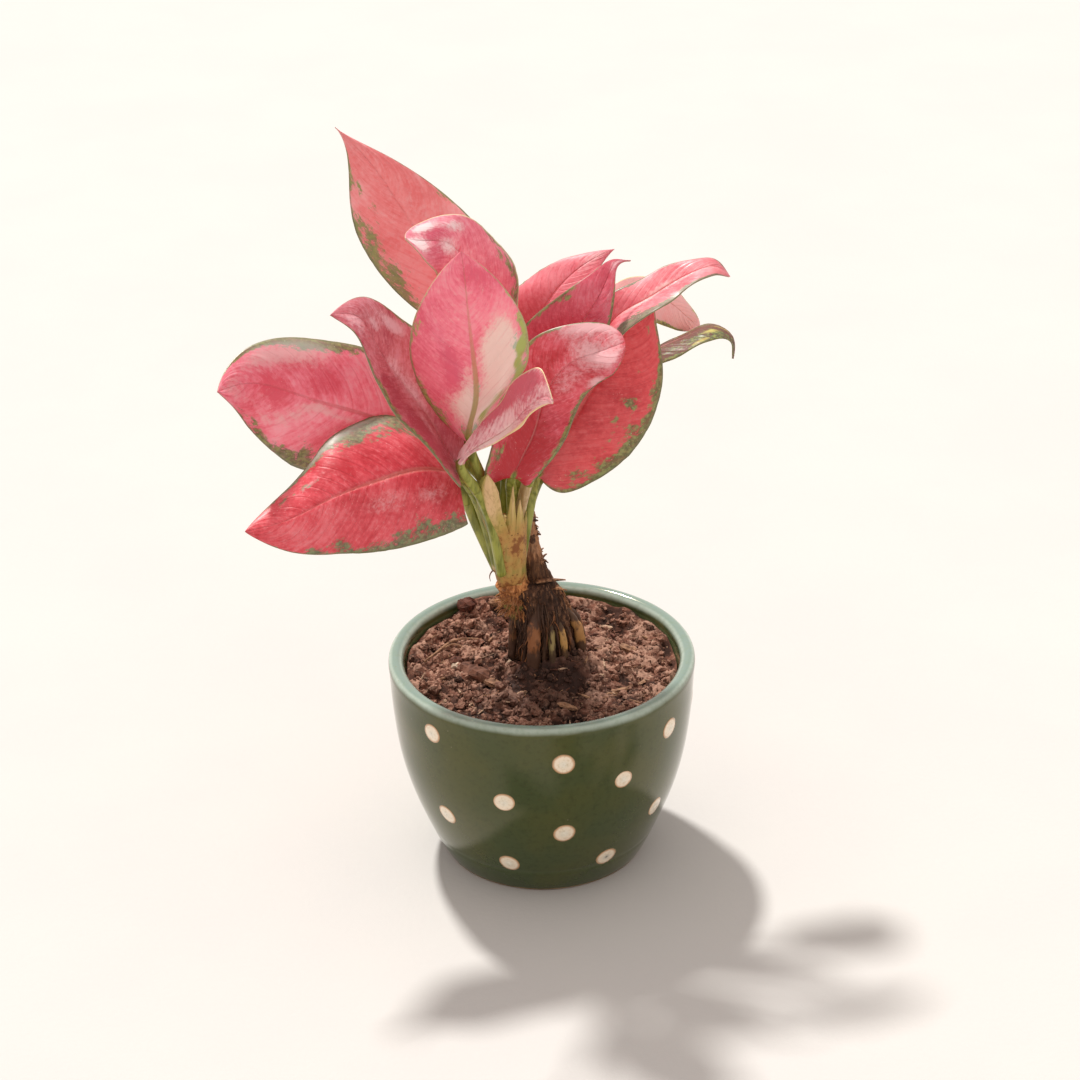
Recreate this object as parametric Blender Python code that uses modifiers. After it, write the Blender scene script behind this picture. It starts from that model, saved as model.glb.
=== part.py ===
"""Potted aglaonema: a glazed pot, soil, a jointed stem with its roots, and fourteen leaves.

The object stands on the ground at z = 0, with the pot's axis on the z axis. The side that
the dots and the leaves show best is towards -y. Every piece is one closed solid, and pieces
that touch on the real plant are 0.3 mm apart here.
"""

import math
from typing import NamedTuple

import bmesh
import bpy
import numpy as np

MM = 0.001
GAP = 0.3

POT_RIM_RADIUS = 62.5
POT_HEIGHT = 88.5
POT_SIDES = 40
# The pot's outside from the rim down to the foot, as shares of its height and rim radius.
POT_OUTSIDE = (
    (0.98, 0.998), (0.94, 0.995), (0.84, 0.986), (0.68, 0.966), (0.5, 0.926), (0.32, 0.854),
    (0.18, 0.779), (0.08, 0.718), (0.03, 0.682), (0.008, 0.666),
)
# The rounded rim as (radius, height), from the inner wall to the outer one.
POT_RIM = ((56.2, 86.4), (57.6, 87.9), (59.2, 88.5), (60.9, 88.4), (62.0, 87.7))
# The inner wall as (height, radius), from the floor up to the rim.
POT_INSIDE = ((8, 33), (9.5, 36.5), (16, 41), (30, 47), (48, 51.8), (68, 54.4), (82, 55.4))
POT_FLOOR = 7.6
POT_FOOT_RADIUS = 40.9

SOIL_HEIGHT = 80.0
SOIL_SIDES = 36
# Heights of the rings up the pot's wall, and shares of the way in from the wall to the hole.
SOIL_WALL_HEIGHTS = (8.0, 9.5, 16, 30, 48, 68, 77.0)
SOIL_TOP_SHARES = (0.0, 0.05, 0.16, 0.28, 0.4, 0.52, 0.64, 0.76, 0.87, 0.95, 1.0)
CROWN = (2.0, 3.0)
ROOT_BALL_RADIUS = 17.0
ROOT_BALL_BOTTOM = 56.0
# Large lumps on the soil: x, y, half sizes, turn about z. Small ones are drawn at random.
LARGE_LUMPS = (
    (-25, 9, (5.5, 3.0, 1.8), 0.6), (-33, 25, (4.5, 4.0, 3.0), 0.2),
    (-20, -14, (4.0, 2.4, 1.6), 2.2), (30, -20, (4.4, 2.2, 1.5), 0.4),
    (36, 12, (4.0, 2.6, 1.6), 2.7), (-40, -6, (3.6, 2.2, 1.6), 1.2),
    (10, -34, (4.2, 2.4, 1.7), 2.9), (16, 36, (4.4, 3.0, 2.0), 0.9),
)
LUMP_COUNT = 24
LUMP_REACH = 47.0

BLADE_THICKNESS = 0.8
# The midrib stands this far out of the lower face at the base, over this share of the half.
MIDRIB_HEIGHT = 1.3
MIDRIB_SHARE = 0.18
# The stalk's half-width at its foot and at the blade, and the share of the blade it fades over.
PETIOLE_RADIUS = (2.3, 1.7)
PETIOLE_FADE = 0.14
BUNDLE_LOW = (-12.5, 0.0, 128.0)
BUNDLE_HIGH = (-15.0, 0.0, 163.0)
LEAF_STEPS = 14
LEAF_ACROSS = (-1.0, -0.72, -0.42, -0.13, 0.0, 0.13, 0.42, 0.72, 1.0)
STALK_ACROSS = (-1.0, -0.5, 0.0, 0.5, 1.0)


class Leaf(NamedTuple):
    """A leaf in millimetres.

    foot is where its stalk leaves the sheath, and rib the points of its midrib from the
    blade's base to its tip. across is the direction from the left edge to the right one at
    the base, middle and tip. width holds the widest left and right half. outline holds the
    powers of the distance from the base and from the tip that shape the margin. fold and
    curl are the angles of the left and right half at the base, middle and tip: the tilt at
    the midrib, and how much it changes out to the margin. lobe draws the margin back beside
    the stalk. colour is the blade's main colour.
    """

    name: str
    foot: tuple
    rib: tuple
    across: tuple
    width: tuple
    outline: tuple
    fold: tuple
    curl: tuple
    lobe: float
    colour: tuple


LEAVES = (
    Leaf(
        "leaf_tall_back",
        foot=(-17, 10, 161),
        rib=(
            (-18, 18, 212), (-28, 22, 230.5), (-39, 28, 248),
            (-51.5, 34, 267), (-63.5, 39, 284.5), (-77, 42, 298.5),
        ),
        across=((0.95, 0.2, 0.25), (1, 0.1, 0.1), (0.9, 0.45, 0.1)),
        width=(23.5, 24),
        outline=(1.3, 1.6),
        fold=((18, 10, 5), (18, 10, 5)),
        curl=((-15, -15, -15), (-15, -15, -15)),
        lobe=0.2,
        colour=(0.78, 0.18, 0.18),
    ),
    Leaf(
        "leaf_arching_top",
        foot=(-13, 4, 164),
        rib=(
            (-13, 7, 197), (-20, 11, 217), (-19.5, 11, 239), (-26, 4, 256),
            (-34, -3.5, 268.5), (-42.5, -10, 271.5), (-48.5, -17.5, 275.5),
        ),
        across=((0.95, 0.35, 0), (0.8, 0.35, 0.5), (-0.4, 0.8, 0.5)),
        width=(16, 15.5),
        outline=(0.6, 0.65),
        fold=((21, 12, 13), (14, 1, 4)),
        curl=((-10, -11, -11), (-16, -19, -15)),
        lobe=0.3,
        colour=(0.8, 0.22, 0.26),
    ),
    Leaf(
        "leaf_front_upright",
        foot=(-21, -14, 170),
        rib=(
            (-27, -23, 196), (-23.5, -33.5, 217), (-24, -36, 237),
            (-25.5, -35, 254.5), (-26.5, -32.5, 267), (-27.5, -30.5, 275.5),
        ),
        across=((-1, -0.05, -0.05), (-1, 0, -0.1), (-1, 0.1, -0.05)),
        width=(23.5, 26),
        outline=(0.75, 0.95),
        fold=((27, 18, 7), (26, 13, 6)),
        curl=((18, 18, 15), (18, 15, 14)),
        lobe=0.14,
        colour=(0.8, 0.3, 0.3),
    ),
    Leaf(
        "leaf_left_folded",
        foot=(-26, -10, 167),
        rib=(
            (-32, -18.5, 180.5), (-41.5, -21, 202.5), (-53.5, -24, 223),
            (-60.5, -30.5, 239), (-67, -33, 251), (-76.5, -37, 253.5),
        ),
        across=((0.3, 0.8, 0.5), (0.25, 0.85, 0.4), (-0.1, 0.8, 0.55)),
        width=(23, 23),
        outline=(0.6, 0.95),
        fold=((42, 22, 4), (37, 18, 10)),
        curl=((-7, -9, -13), (-9, -13, -10)),
        lobe=0.28,
        colour=(0.42, 0.05, 0.08),
    ),
    Leaf(
        "leaf_left_broad",
        foot=(-21, 4, 163),
        rib=(
            (-40.5, 6, 179), (-54.5, 4, 188), (-70, 0, 196.5),
            (-88.5, -3.5, 204.5), (-109, -7.5, 213), (-122, -20.5, 215.5),
        ),
        across=((0.5, 0.45, 0.75), (0.35, 0.45, 0.85), (-0.3, 0.55, 0.75)),
        width=(30, 25.5),
        outline=(0.65, 0.85),
        fold=((9, -8, 12), (5, 4, 11)),
        curl=((-19, -26, -16), (-25, -26, -25)),
        lobe=0.3,
        colour=(0.62, 0.06, 0.09),
    ),
    Leaf(
        "leaf_lower_left",
        foot=(-28, -4, 159),
        rib=(
            (-32.5, -9, 172), (-45.5, -17.5, 180), (-61.5, -24.5, 179),
            (-79.5, -33.5, 176), (-96, -36.5, 168.5), (-112.5, -43, 167),
        ),
        across=((-0.4, 0.55, 0.75), (-0.3, 0.55, 0.75), (-0.15, 0.6, 0.8)),
        width=(28, 28),
        outline=(0.4, 0.9),
        fold=((7, -1, 5), (4, -2, -8)),
        curl=((-14, -18, -15), (-35, -35, -37)),
        lobe=0.07,
        colour=(0.62, 0.06, 0.08),
    ),
    Leaf(
        "leaf_front_small",
        foot=(-25, -20, 172),
        rib=(
            (-30, -32.5, 190.5), (-20, -36, 200), (-9.5, -40, 209.5),
            (-3.5, -44.5, 218.5), (3.5, -47.5, 224), (5.5, -52, 224),
        ),
        across=((0.35, -0.8, -0.5), (0.15, -0.8, -0.55), (-0.1, -0.75, -0.65)),
        width=(13, 3.5),
        outline=(1, 0.45),
        fold=((23, 18, 26), (6, 0, -1)),
        curl=((-11, -14, -7), (-20, -20, -20)),
        lobe=0.29,
        colour=(0.75, 0.25, 0.28),
    ),
    Leaf(
        "leaf_front_right",
        foot=(-11, -9, 167),
        rib=(
            (-10.5, -14.5, 175), (-2.5, -10.5, 190), (2.5, -13.5, 208.5),
            (12, -12.5, 221.5), (23.5, -13, 226.5), (33.5, -8, 228),
        ),
        across=((0.95, 0.2, -0.2), (0.85, -0.1, -0.55), (0.2, -0.85, -0.5)),
        width=(18, 14),
        outline=(0.4, 0.45),
        fold=((21, 20, 15), (14, 10, 6)),
        curl=((-9, -10, -10), (-25, -25, -25)),
        lobe=0.43,
        colour=(0.6, 0.07, 0.1),
    ),
    Leaf(
        "leaf_right_large",
        foot=(-3, -2, 161),
        rib=(
            (-1, 3.5, 165.5), (9.5, 7, 182), (21, 10.5, 200),
            (32, 16.5, 216), (38.5, 22, 229), (45, 27, 235),
        ),
        across=((0.9, -0.05, -0.45), (0.85, -0.15, -0.55), (0.8, -0.1, -0.6)),
        width=(18, 28),
        outline=(0.6, 0.9),
        fold=((15, 10, 5), (9, 5, -2)),
        curl=((-15, -15, -15), (-25, -24, -26)),
        lobe=0.24,
        colour=(0.5, 0.03, 0.04),
    ),
    Leaf(
        "leaf_back_right",
        foot=(-12, 11, 160),
        rib=(
            (-3.5, 26, 209.5), (1.5, 30, 224), (9.5, 34, 234.5),
            (19.5, 39, 241.5), (31, 44, 245.5),
        ),
        across=((0.95, -0.05, -0.25), (0.85, -0.4, -0.3), (0.45, -0.55, -0.7)),
        width=(16, 16),
        outline=(0.3, 1.15),
        fold=((15, 5, 0), (15, 10, 5)),
        curl=((-20, -20, -20), (-10, -10, -10)),
        lobe=0.31,
        colour=(0.72, 0.15, 0.16),
    ),
    Leaf(
        "leaf_middle_right",
        foot=(-8, -2, 164),
        rib=(
            (4.5, 0.5, 207), (12, 3, 222.5), (20.5, 5, 236),
            (27, 9.5, 246.5), (30.5, 14, 251.5), (36.5, 17, 251.5),
        ),
        across=((0.9, -0.2, -0.4), (0.9, -0.2, -0.4), (0.4, -0.75, -0.55)),
        width=(20, 14),
        outline=(0.35, 1.5),
        fold=((14, 9, 4), (21, 21, 9)),
        curl=((-10, -11, -10), (-15, -15, -15)),
        lobe=0.29,
        colour=(0.45, 0.06, 0.09),
    ),
    Leaf(
        "leaf_right_narrow",
        foot=(-5, -8, 168),
        rib=(
            (23.5, 5.5, 220), (30.5, 9, 231), (42.5, 13, 237), (53.5, 19, 241.5),
            (64, 22, 245.5), (70, 25, 245), (75.5, 26, 240.5),
        ),
        across=((0.65, -0.7, -0.3), (0.35, -0.9, -0.35), (-0.25, -0.9, -0.35)),
        width=(9, 13.5),
        outline=(0.5, 0.85),
        fold=((34, 23, 12), (29, 31, 12)),
        curl=((-16, -16, -14), (-21, -15, -17)),
        lobe=0.3,
        colour=(0.7, 0.14, 0.17),
    ),
    Leaf(
        "leaf_rear_right",
        foot=(-5, 14, 159),
        rib=(
            (25, 36, 218), (37.5, 44.5, 224.5), (49.5, 50, 222),
            (58, 54, 214), (65.5, 56, 206),
        ),
        across=((0.8, -0.25, -0.55), (-0.05, -0.65, -0.75), (-0.65, -0.5, -0.55)),
        width=(8, 11.5),
        outline=(0.3, 0.55),
        fold=((10, 4, 5), (10, 5, 5)),
        curl=((-10, -10, -10), (-10, -10, -10)),
        lobe=0.32,
        colour=(0.8, 0.24, 0.24),
    ),
    Leaf(
        "leaf_far_right",
        foot=(-1, 7, 162),
        rib=(
            (34.5, 30, 197.5), (47.5, 34, 206.5), (60, 38, 210.5),
            (70, 41, 212.5), (78, 42.5, 207.5), (78.5, 43, 198),
        ),
        across=((0.35, -0.95, 0.1), (0.2, -0.95, 0.1), (-0.1, -1, 0.05)),
        width=(15, 10),
        outline=(0.6, 0.75),
        fold=((-21, -8, 5), (-17, -4, 0)),
        curl=((-21, -19, -18), (-19, -17, -20)),
        lobe=0.29,
        colour=(0.3, 0.3, 0.12),
    ),)


def clear_scene():
    for obj in list(bpy.data.objects):
        bpy.data.objects.remove(obj, do_unlink=True)


def unit(vectors):
    return vectors / np.linalg.norm(vectors, axis=-1, keepdims=True)


def through(values, share):
    """The smooth value at each share from 0 to 1 of three values: first, middle and last."""
    first, middle, last = (np.asarray(v, float) for v in values)
    share = np.asarray(share, float)
    if first.ndim:
        share = share[..., None]
    rise = share * (1 - share)
    return first * (1 - share) ** 2 + (4 * middle - first - last) * rise + last * share**2


def spline(points):
    """A natural cubic spline through the points: its function of 0 to 1, and its knots."""
    points = np.asarray(points, float)
    chord = np.linalg.norm(np.diff(points, axis=0), axis=1) ** 0.75
    knots = np.concatenate([[0.0], np.cumsum(chord)]) / chord.sum()
    step = np.diff(knots)
    count = len(points)
    matrix = np.eye(count)
    right = np.zeros_like(points)
    for i in range(1, count - 1):
        matrix[i, i - 1 : i + 2] = step[i - 1], 2 * (step[i - 1] + step[i]), step[i]
        right[i] = 6 * (
            (points[i + 1] - points[i]) / step[i] - (points[i] - points[i - 1]) / step[i - 1]
        )
    bend = np.linalg.solve(matrix, right)

    def at(share):
        share = np.asarray(share, float)
        i = np.clip(np.searchsorted(knots, share, side="right") - 1, 0, count - 2)
        after = (share - knots[i])[:, None]
        before = (knots[i + 1] - share)[:, None]
        h = step[i][:, None]
        cubic = (bend[i] * before**3 + bend[i + 1] * after**3) / (6 * h)
        low = points[i] / h - bend[i] * h / 6
        high = points[i + 1] / h - bend[i + 1] * h / 6
        return cubic + low * before + high * after

    return at, knots


def stalk_start(leaf):
    """The point inside the sheath bundle that a leaf's stalk rises from."""
    low, high, foot = (np.array(p, float) for p in (BUNDLE_LOW, BUNDLE_HIGH, leaf.foot))
    start = low + 0.35 * (foot - high)
    start[2] = low[2]
    return start


def leaf_path(leaf):
    """The line of a stalk and midrib, and the shares at its foot and at the blade's base."""
    at, knots = spline([stalk_start(leaf), leaf.foot, *leaf.rib])
    return at, knots[1], knots[2]


def leaf_rings(leaf, shares, across):
    """Rings of points round the stalk and blade at shares of the path, as (rings, points, 3).

    Each ring runs over the upper face from left to right and back along the lower one. The
    middle surface bends from the midrib with the fold and curl angles. The stalk's half-round
    section fades out over the first part of the blade.
    """
    at, foot, base = leaf_path(leaf)
    along = np.clip((shares - base) / (1 - base), 0, 1)[:, None]
    stalk = np.clip((shares - foot) / (base - foot), 0, 1)[:, None]
    middle = at(shares)
    small = 1e-4
    tangent = unit(at(np.clip(shares + small, 0, 1)) - at(np.clip(shares - small, 0, 1)))
    side = unit(through(leaf.across, along[:, 0]))
    lean = (side * tangent).sum(axis=-1, keepdims=True) * np.clip(1 - along / 0.08, 0, 1)
    side = unit(side - tangent * lean)
    up = unit(np.cross(side, tangent))
    u = np.asarray(across, float)[None, :]
    out = np.abs(u)
    left = u < 0
    sign = np.where(left, -1.0, 1.0)

    p, q = leaf.outline
    peak = p / (p + q)
    shape = along**p * (1 - along) ** q / (peak**p * (1 - peak) ** q)
    half = np.where(left, leaf.width[0], leaf.width[1])
    fold = np.radians(np.where(left, *(through(v, along) for v in leaf.fold)))
    curl = np.radians(np.where(left, *(through(v, along) for v in leaf.curl)))
    curl = np.where(np.abs(curl) < 1e-3, 1e-3, curl)
    angle = fold + curl * out
    x = sign * half * shape * (np.sin(angle) - np.sin(fold)) / curl
    z = half * shape * (np.cos(fold) - np.cos(angle)) / curl
    back = leaf.lobe * 2 * half * out**2 * shape * (1 - along) ** 6

    radius = PETIOLE_RADIUS[0] + (PETIOLE_RADIUS[1] - PETIOLE_RADIUS[0]) * stalk
    leaving = np.clip(1 - along / PETIOLE_FADE, 0, 1)
    x = x + leaving * radius * np.sin(0.5 * math.pi * u)
    round_up = np.cos(0.5 * math.pi * u)
    plate = 0.5 * BLADE_THICKNESS
    ridge = MIDRIB_HEIGHT * (1 - along) ** 1.2 * np.clip(1 - out / MIDRIB_SHARE, 0, 1)
    above = plate + leaving * (0.5 * radius * round_up)
    below = plate + leaving * radius * round_up + (1 - leaving) * ridge
    tilt = angle * np.clip(along / 0.05, 0, 1)
    skin_normal = (
        up[:, None] * np.cos(tilt)[..., None] - side[:, None] * (sign * np.sin(tilt))[..., None]
    )
    surface = (
        middle[:, None]
        + side[:, None] * x[..., None]
        + up[:, None] * z[..., None]
        - tangent[:, None] * back[..., None]
    )
    upper = surface + skin_normal * above[..., None]
    lower = surface - skin_normal * below[..., None]
    return np.concatenate([upper, lower[:, ::-1]], axis=1)


def skin(rings, mirrored_half=False):
    """Points and triangles of a closed tube over the rings, with a point at each end.

    With mirrored_half the second half of each ring is split along the other diagonal, so
    that the two faces of a thin blade are split alike.
    """
    count, ring = rings.shape[:2]
    points = np.vstack([rings.reshape(-1, 3), rings[0].mean(axis=0), rings[-1].mean(axis=0)])
    i, j = np.meshgrid(np.arange(count - 1), np.arange(ring), indexing="ij")
    a = (i * ring + j).ravel()
    b = (i * ring + (j + 1) % ring).ravel()
    other = (j.ravel() >= ring // 2) & mirrored_half
    c = np.where(other, a + ring, b + ring)
    d = np.where(other, b, a)
    faces = [np.column_stack([a, b, c]), np.column_stack([d, b + ring, a + ring])]
    k = np.arange(ring)
    after = (k + 1) % ring
    last = (count - 1) * ring
    faces.append(np.column_stack([after, k, np.full(ring, count * ring)]))
    faces.append(np.column_stack([last + k, last + after, np.full(ring, count * ring + 1)]))
    faces = np.vstack(faces)
    corners = points[faces]
    volume = np.einsum("ij,ij->i", corners[:, 0], np.cross(corners[:, 1], corners[:, 2])).sum()
    return points, faces if volume > 0 else faces[:, ::-1]


def add_mesh(name, points, faces, collection, material=None, smooth=True):
    """A mesh object from points in millimetres."""
    mesh = bpy.data.meshes.new(name)
    mesh.from_pydata((np.asarray(points) * MM).tolist(), [], np.asarray(faces).tolist())
    mesh.polygons.foreach_set("use_smooth", [smooth] * len(mesh.polygons))
    mesh.update()
    obj = bpy.data.objects.new(name, mesh)
    collection.objects.link(obj)
    if material:
        mesh.materials.append(material)
    return obj


def material(name, colour, roughness, coat=0.0):
    made = bpy.data.materials.new(name)
    made.use_nodes = True
    shader = made.node_tree.nodes["Principled BSDF"]
    shader.inputs["Base Color"].default_value = (*colour, 1.0)
    shader.inputs["Roughness"].default_value = roughness
    shader.inputs["Metallic"].default_value = 0.0
    shader.inputs["Coat Weight"].default_value = coat
    made.diffuse_color = (*colour, 1.0)
    return made


def apply_modifiers(obj):
    """Replaces an object's mesh by its evaluated one and drops its modifiers."""
    graph = bpy.context.evaluated_depsgraph_get()
    made = bpy.data.meshes.new_from_object(obj.evaluated_get(graph))
    obj.modifiers.clear()
    obj.data = made


def union(obj, repeats, solver="EXACT"):
    """Joins a collection of closed pieces to the object, then removes the collection."""
    joined = obj.modifiers.new("join", "BOOLEAN")
    joined.operation = "UNION"
    joined.operand_type = "COLLECTION"
    joined.collection = repeats
    joined.solver = solver
    bpy.context.view_layer.update()
    apply_modifiers(obj)
    for piece in list(repeats.objects):
        bpy.data.objects.remove(piece, do_unlink=True)
    bpy.data.collections.remove(repeats)


def helper_collection(name):
    made = bpy.data.collections.new(name)
    made.hide_render = True
    bpy.context.scene.collection.children.link(made)
    return made


def ellipse_rings(path, sides, bumps=0.0, random=None):
    """Level rings round a path of (x, y, z, half-width x, half-width y) rows."""
    turn = np.arange(sides) / sides * 2 * math.pi
    rings = []
    for x, y, z, wide, deep in path:
        swell = 1.0 if random is None else 1 + random.uniform(-bumps, bumps, sides)
        ring = [x + wide * swell * np.cos(turn), y + deep * swell * np.sin(turn)]
        rings.append(np.column_stack([*ring, np.full(sides, float(z))]))
    return np.array(rings)


def tube_rings(points, radii, sides, steps):
    """Rings of a round tube along a smooth path, with radii spread evenly along it."""
    at, _ = spline(points)
    share = np.linspace(0, 1, steps)
    middle = at(share)
    small = 1e-3
    tangent = unit(at(np.clip(share + small, 0, 1)) - at(np.clip(share - small, 0, 1)))
    level = np.array([0.31, 0.95, 0.05])
    first = unit(np.cross(tangent, level))
    second = np.cross(tangent, first)
    turn = (np.arange(sides) + 0.5) / sides * 2 * math.pi
    radius = np.interp(share, np.linspace(0, 1, len(radii)), radii)[:, None, None]
    circle = first[:, None] * np.cos(turn)[:, None] + second[:, None] * np.sin(turn)[:, None]
    return middle[:, None] + radius * circle


def add_pot(collection):
    """The pot's profile, turned about the z axis. It runs from the floor's middle up the
    inner wall, over the rounded rim and down the outside to the middle of the base."""
    outside = [(wide * POT_RIM_RADIUS, high * POT_HEIGHT) for high, wide in POT_OUTSIDE]
    inside = [(radius, height) for height, radius in POT_INSIDE]
    profile = [(0, POT_FLOOR), *inside, *POT_RIM, *outside, (POT_FOOT_RADIUS, 0), (0, 0)]
    points = [(radius, 0, height) for radius, height in profile]
    edges = [(i, i + 1) for i in range(len(points) - 1)]
    mesh = bpy.data.meshes.new("pot")
    mesh.from_pydata([[v * MM for v in p] for p in points], edges, [])
    pot = bpy.data.objects.new("pot", mesh)
    collection.objects.link(pot)
    turned = pot.modifiers.new("turn", "SCREW")
    turned.steps = POT_SIDES
    turned.render_steps = POT_SIDES
    turned.use_merge_vertices = True
    turned.merge_threshold = 0.0001
    turned.use_smooth_shade = True
    mesh.materials.append(material("pot", (0.05, 0.09, 0.07), 0.12, 1.0))
    return pot


def soil_surface(x, y):
    """Height of the soil: higher by the wall, most at the back, and round the stem; uneven."""
    slope = 0.6 + 0.9 * np.abs(y) / 50 + 0.7 * y / 50
    away = np.hypot(x - CROWN[0], y - CROWN[1])
    mound = 1.2 * np.exp(-(((away - 17) / 9) ** 2))
    waves = np.sin(0.21 * x + 0.4) * np.cos(0.17 * y - 0.8) + 0.6 * np.sin(0.37 * x - 0.29 * y)
    pile = 2.6 * np.exp(-(((x + 24) / 13) ** 2) - ((y - 48) / 10) ** 2)
    return SOIL_HEIGHT + slope + mound + pile + 0.9 * waves


def soil_rings(random):
    """Rings from the middle of the soil's underside, up the pot's wall, in over the uneven
    top and down the plain hole that the root ball stands in."""
    turn = np.arange(SOIL_SIDES) / SOIL_SIDES * 2 * math.pi
    circle = np.column_stack([np.cos(turn), np.sin(turn)])
    wall_height, wall_radius = (np.array(v) for v in zip(*POT_INSIDE))
    rings = []
    # A many-sided ring's sides lie inside its circle, so the soil stays a little clear of both.
    inset = GAP + 0.15
    for height in SOIL_WALL_HEIGHTS:
        radius = np.interp(height, wall_height, wall_radius) - inset
        rings.append(np.column_stack([circle * radius, np.full(SOIL_SIDES, height + GAP)]))
    hole = ROOT_BALL_RADIUS + inset
    edge = np.interp(SOIL_HEIGHT, wall_height, wall_radius) - inset - 0.1
    for share in SOIL_TOP_SHARES:
        centre = share * np.array(CROWN)
        flat = centre + circle * (edge + (hole - edge) * share)
        height = soil_surface(flat[:, 0], flat[:, 1])
        if 0 < share < 1:
            height = height + random.uniform(-1.0, 1.0, SOIL_SIDES)
        rings.append(np.column_stack([flat, height]))
    flat = np.array(CROWN) + circle * hole
    for height in (70.0, ROOT_BALL_BOTTOM - GAP):
        rings.append(np.column_stack([flat, np.full(SOIL_SIDES, height)]))
    return np.array(rings)


def add_crumbs(repeats, random):
    """Lumps of soil and chips of bark, each sunk by about half, clear of wall and hole."""
    placed = list(LARGE_LUMPS)
    while len(placed) < LUMP_COUNT:
        x, y = random.uniform(-LUMP_REACH, LUMP_REACH, 2)
        near = math.hypot(x - CROWN[0], y - CROWN[1]) < ROOT_BALL_RADIUS + 7
        if near or math.hypot(x, y) > LUMP_REACH:
            continue
        size = random.uniform(1.7, 3.2)
        half = (size, size * random.uniform(0.6, 1.0), size * random.uniform(0.45, 0.8))
        placed.append((x, y, half, random.uniform(0, math.pi)))
    for number, (x, y, half, turn) in enumerate(placed):
        lump = bmesh.new()
        bmesh.ops.create_icosphere(lump, subdivisions=1, radius=1.0)
        for vertex in lump.verts:
            vertex.co *= random.uniform(0.85, 1.15)
        shape = np.array([v.co[:] for v in lump.verts]) * half
        faces = [[v.index for v in f.verts] for f in lump.faces]
        lump.free()
        c, s = math.cos(turn), math.sin(turn)
        shape = shape @ np.array([[c, s, 0], [-s, c, 0], [0, 0, 1]])
        height = float(soil_surface(np.array(x), np.array(y))) + 0.25 * half[2]
        add_mesh(f"crumb_{number}", shape + (x, y, height), faces, repeats)


def add_soil(collection):
    random = np.random.default_rng(7)
    brown = material("soil", (0.08, 0.035, 0.022), 0.95)
    soil = add_mesh("soil", *skin(soil_rings(random)), collection, brown, smooth=False)
    repeats = helper_collection("crumbs")
    add_crumbs(repeats, random)
    union(soil, repeats)
    return soil


# Level rings of the root ball and crown: x, y, z, half-width x, half-width y.
CROWN_RINGS = (
    (2, 3, 56, 16, 16), (2, 3, 57, 17, 17), (2, 3, 78.6, 17, 17), (2, 3, 80.4, 14.5, 14),
    (2, 3, 84, 12, 11.5), (2, 3, 91, 12.2, 11.2), (1.5, 2.6, 99, 12, 10.6),
    (0, 2, 106, 12, 9.8), (-2, 1.6, 112, 12, 9), (-3, 1.2, 117, 11.4, 8.2), (-4, 1, 120, 8.5, 6),
)
# The young stem and its bundle of leaf sheaths.
BUNDLE_RINGS = (
    (-8.5, 0.5, 110, 6.6, 5.6), (-10.6, 0, 116, 6.0, 5.4), (-11, 0, 119.4, 6.4, 5.8),
    (-11.2, 0, 121.4, 5.6, 5.0), (-12, 0, 127, 6.4, 5.4), (-13.2, 0, 135, 7.8, 6.2),
    (-14, 0, 143, 8.4, 6.8), (-14.6, 0, 151, 8.4, 7.0), (-15, 0, 157, 6.6, 5.6),
    (-15, 0, 160.5, 3.2, 2.8),
)
# The old cane behind the bundle.
CANE_RINGS = (
    (3, 3, 108, 7.5, 6.5), (2.2, 3.4, 117, 6.8, 6.0), (0.2, 4, 125, 5.8, 5.4),
    (-2.2, 4.2, 133, 4.9, 4.8), (-3.8, 4.4, 142, 4.4, 4.2), (-4.6, 4.4, 150, 4.0, 3.8),
    (-4.8, 4.4, 155, 2.6, 2.4),
)
# Bracts that stand out of the bundle: root, tip, half-width and half-thickness at the root.
BRACTS = (
    ((-12, -5.5, 128), (-10.8, -12, 165), 3.6, 1.1),
    ((-9, -5, 126), (-7.6, -9.5, 159), 3.2, 1.1),
    ((-16, -4.5, 128), (-20, -9, 158), 5.2, 1.2),
    ((-13, 4.5, 128), (-15, 7.5, 155), 4.6, 1.2),
)
# Prop roots: the turn about the crown in degrees, where they leave it, how far out they
# bend and their radius.
PROP_ROOTS = (
    (-168, 101, 15.0, 1.1), (-140, 97, 13.5, 1.2), (-112, 99, 14.2, 2.0), (-88, 96, 13.6, 1.4),
    (-70, 98, 14.4, 1.7), (-46, 101, 14.8, 1.7), (-18, 104, 15.0, 2.3), (4, 108, 15.2, 1.9),
    (34, 102, 14.6, 1.8), (70, 98, 14.2, 1.9), (104, 100, 14.2, 1.7), (146, 98, 14.4, 1.6),
)


def add_prop_roots(repeats):
    for number, (degrees, start, reach, radius) in enumerate(PROP_ROOTS):
        turn = math.radians(degrees)
        outward = np.array([math.cos(turn), math.sin(turn), 0])
        centre = np.array([*CROWN, 0.0])
        heights = (start, start - 7, 0.5 * (start + 76), 82, 72)
        reaches = (8.5, reach - 2.2, reach - 0.5, reach, reach - 0.6)
        path = [centre + outward * r + (0, 0, z) for r, z in zip(reaches, heights)]
        rings = tube_rings(path, (radius, radius, 0.9 * radius), 6, 6)
        add_mesh(f"root_{number}", *skin(rings), repeats)


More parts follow.
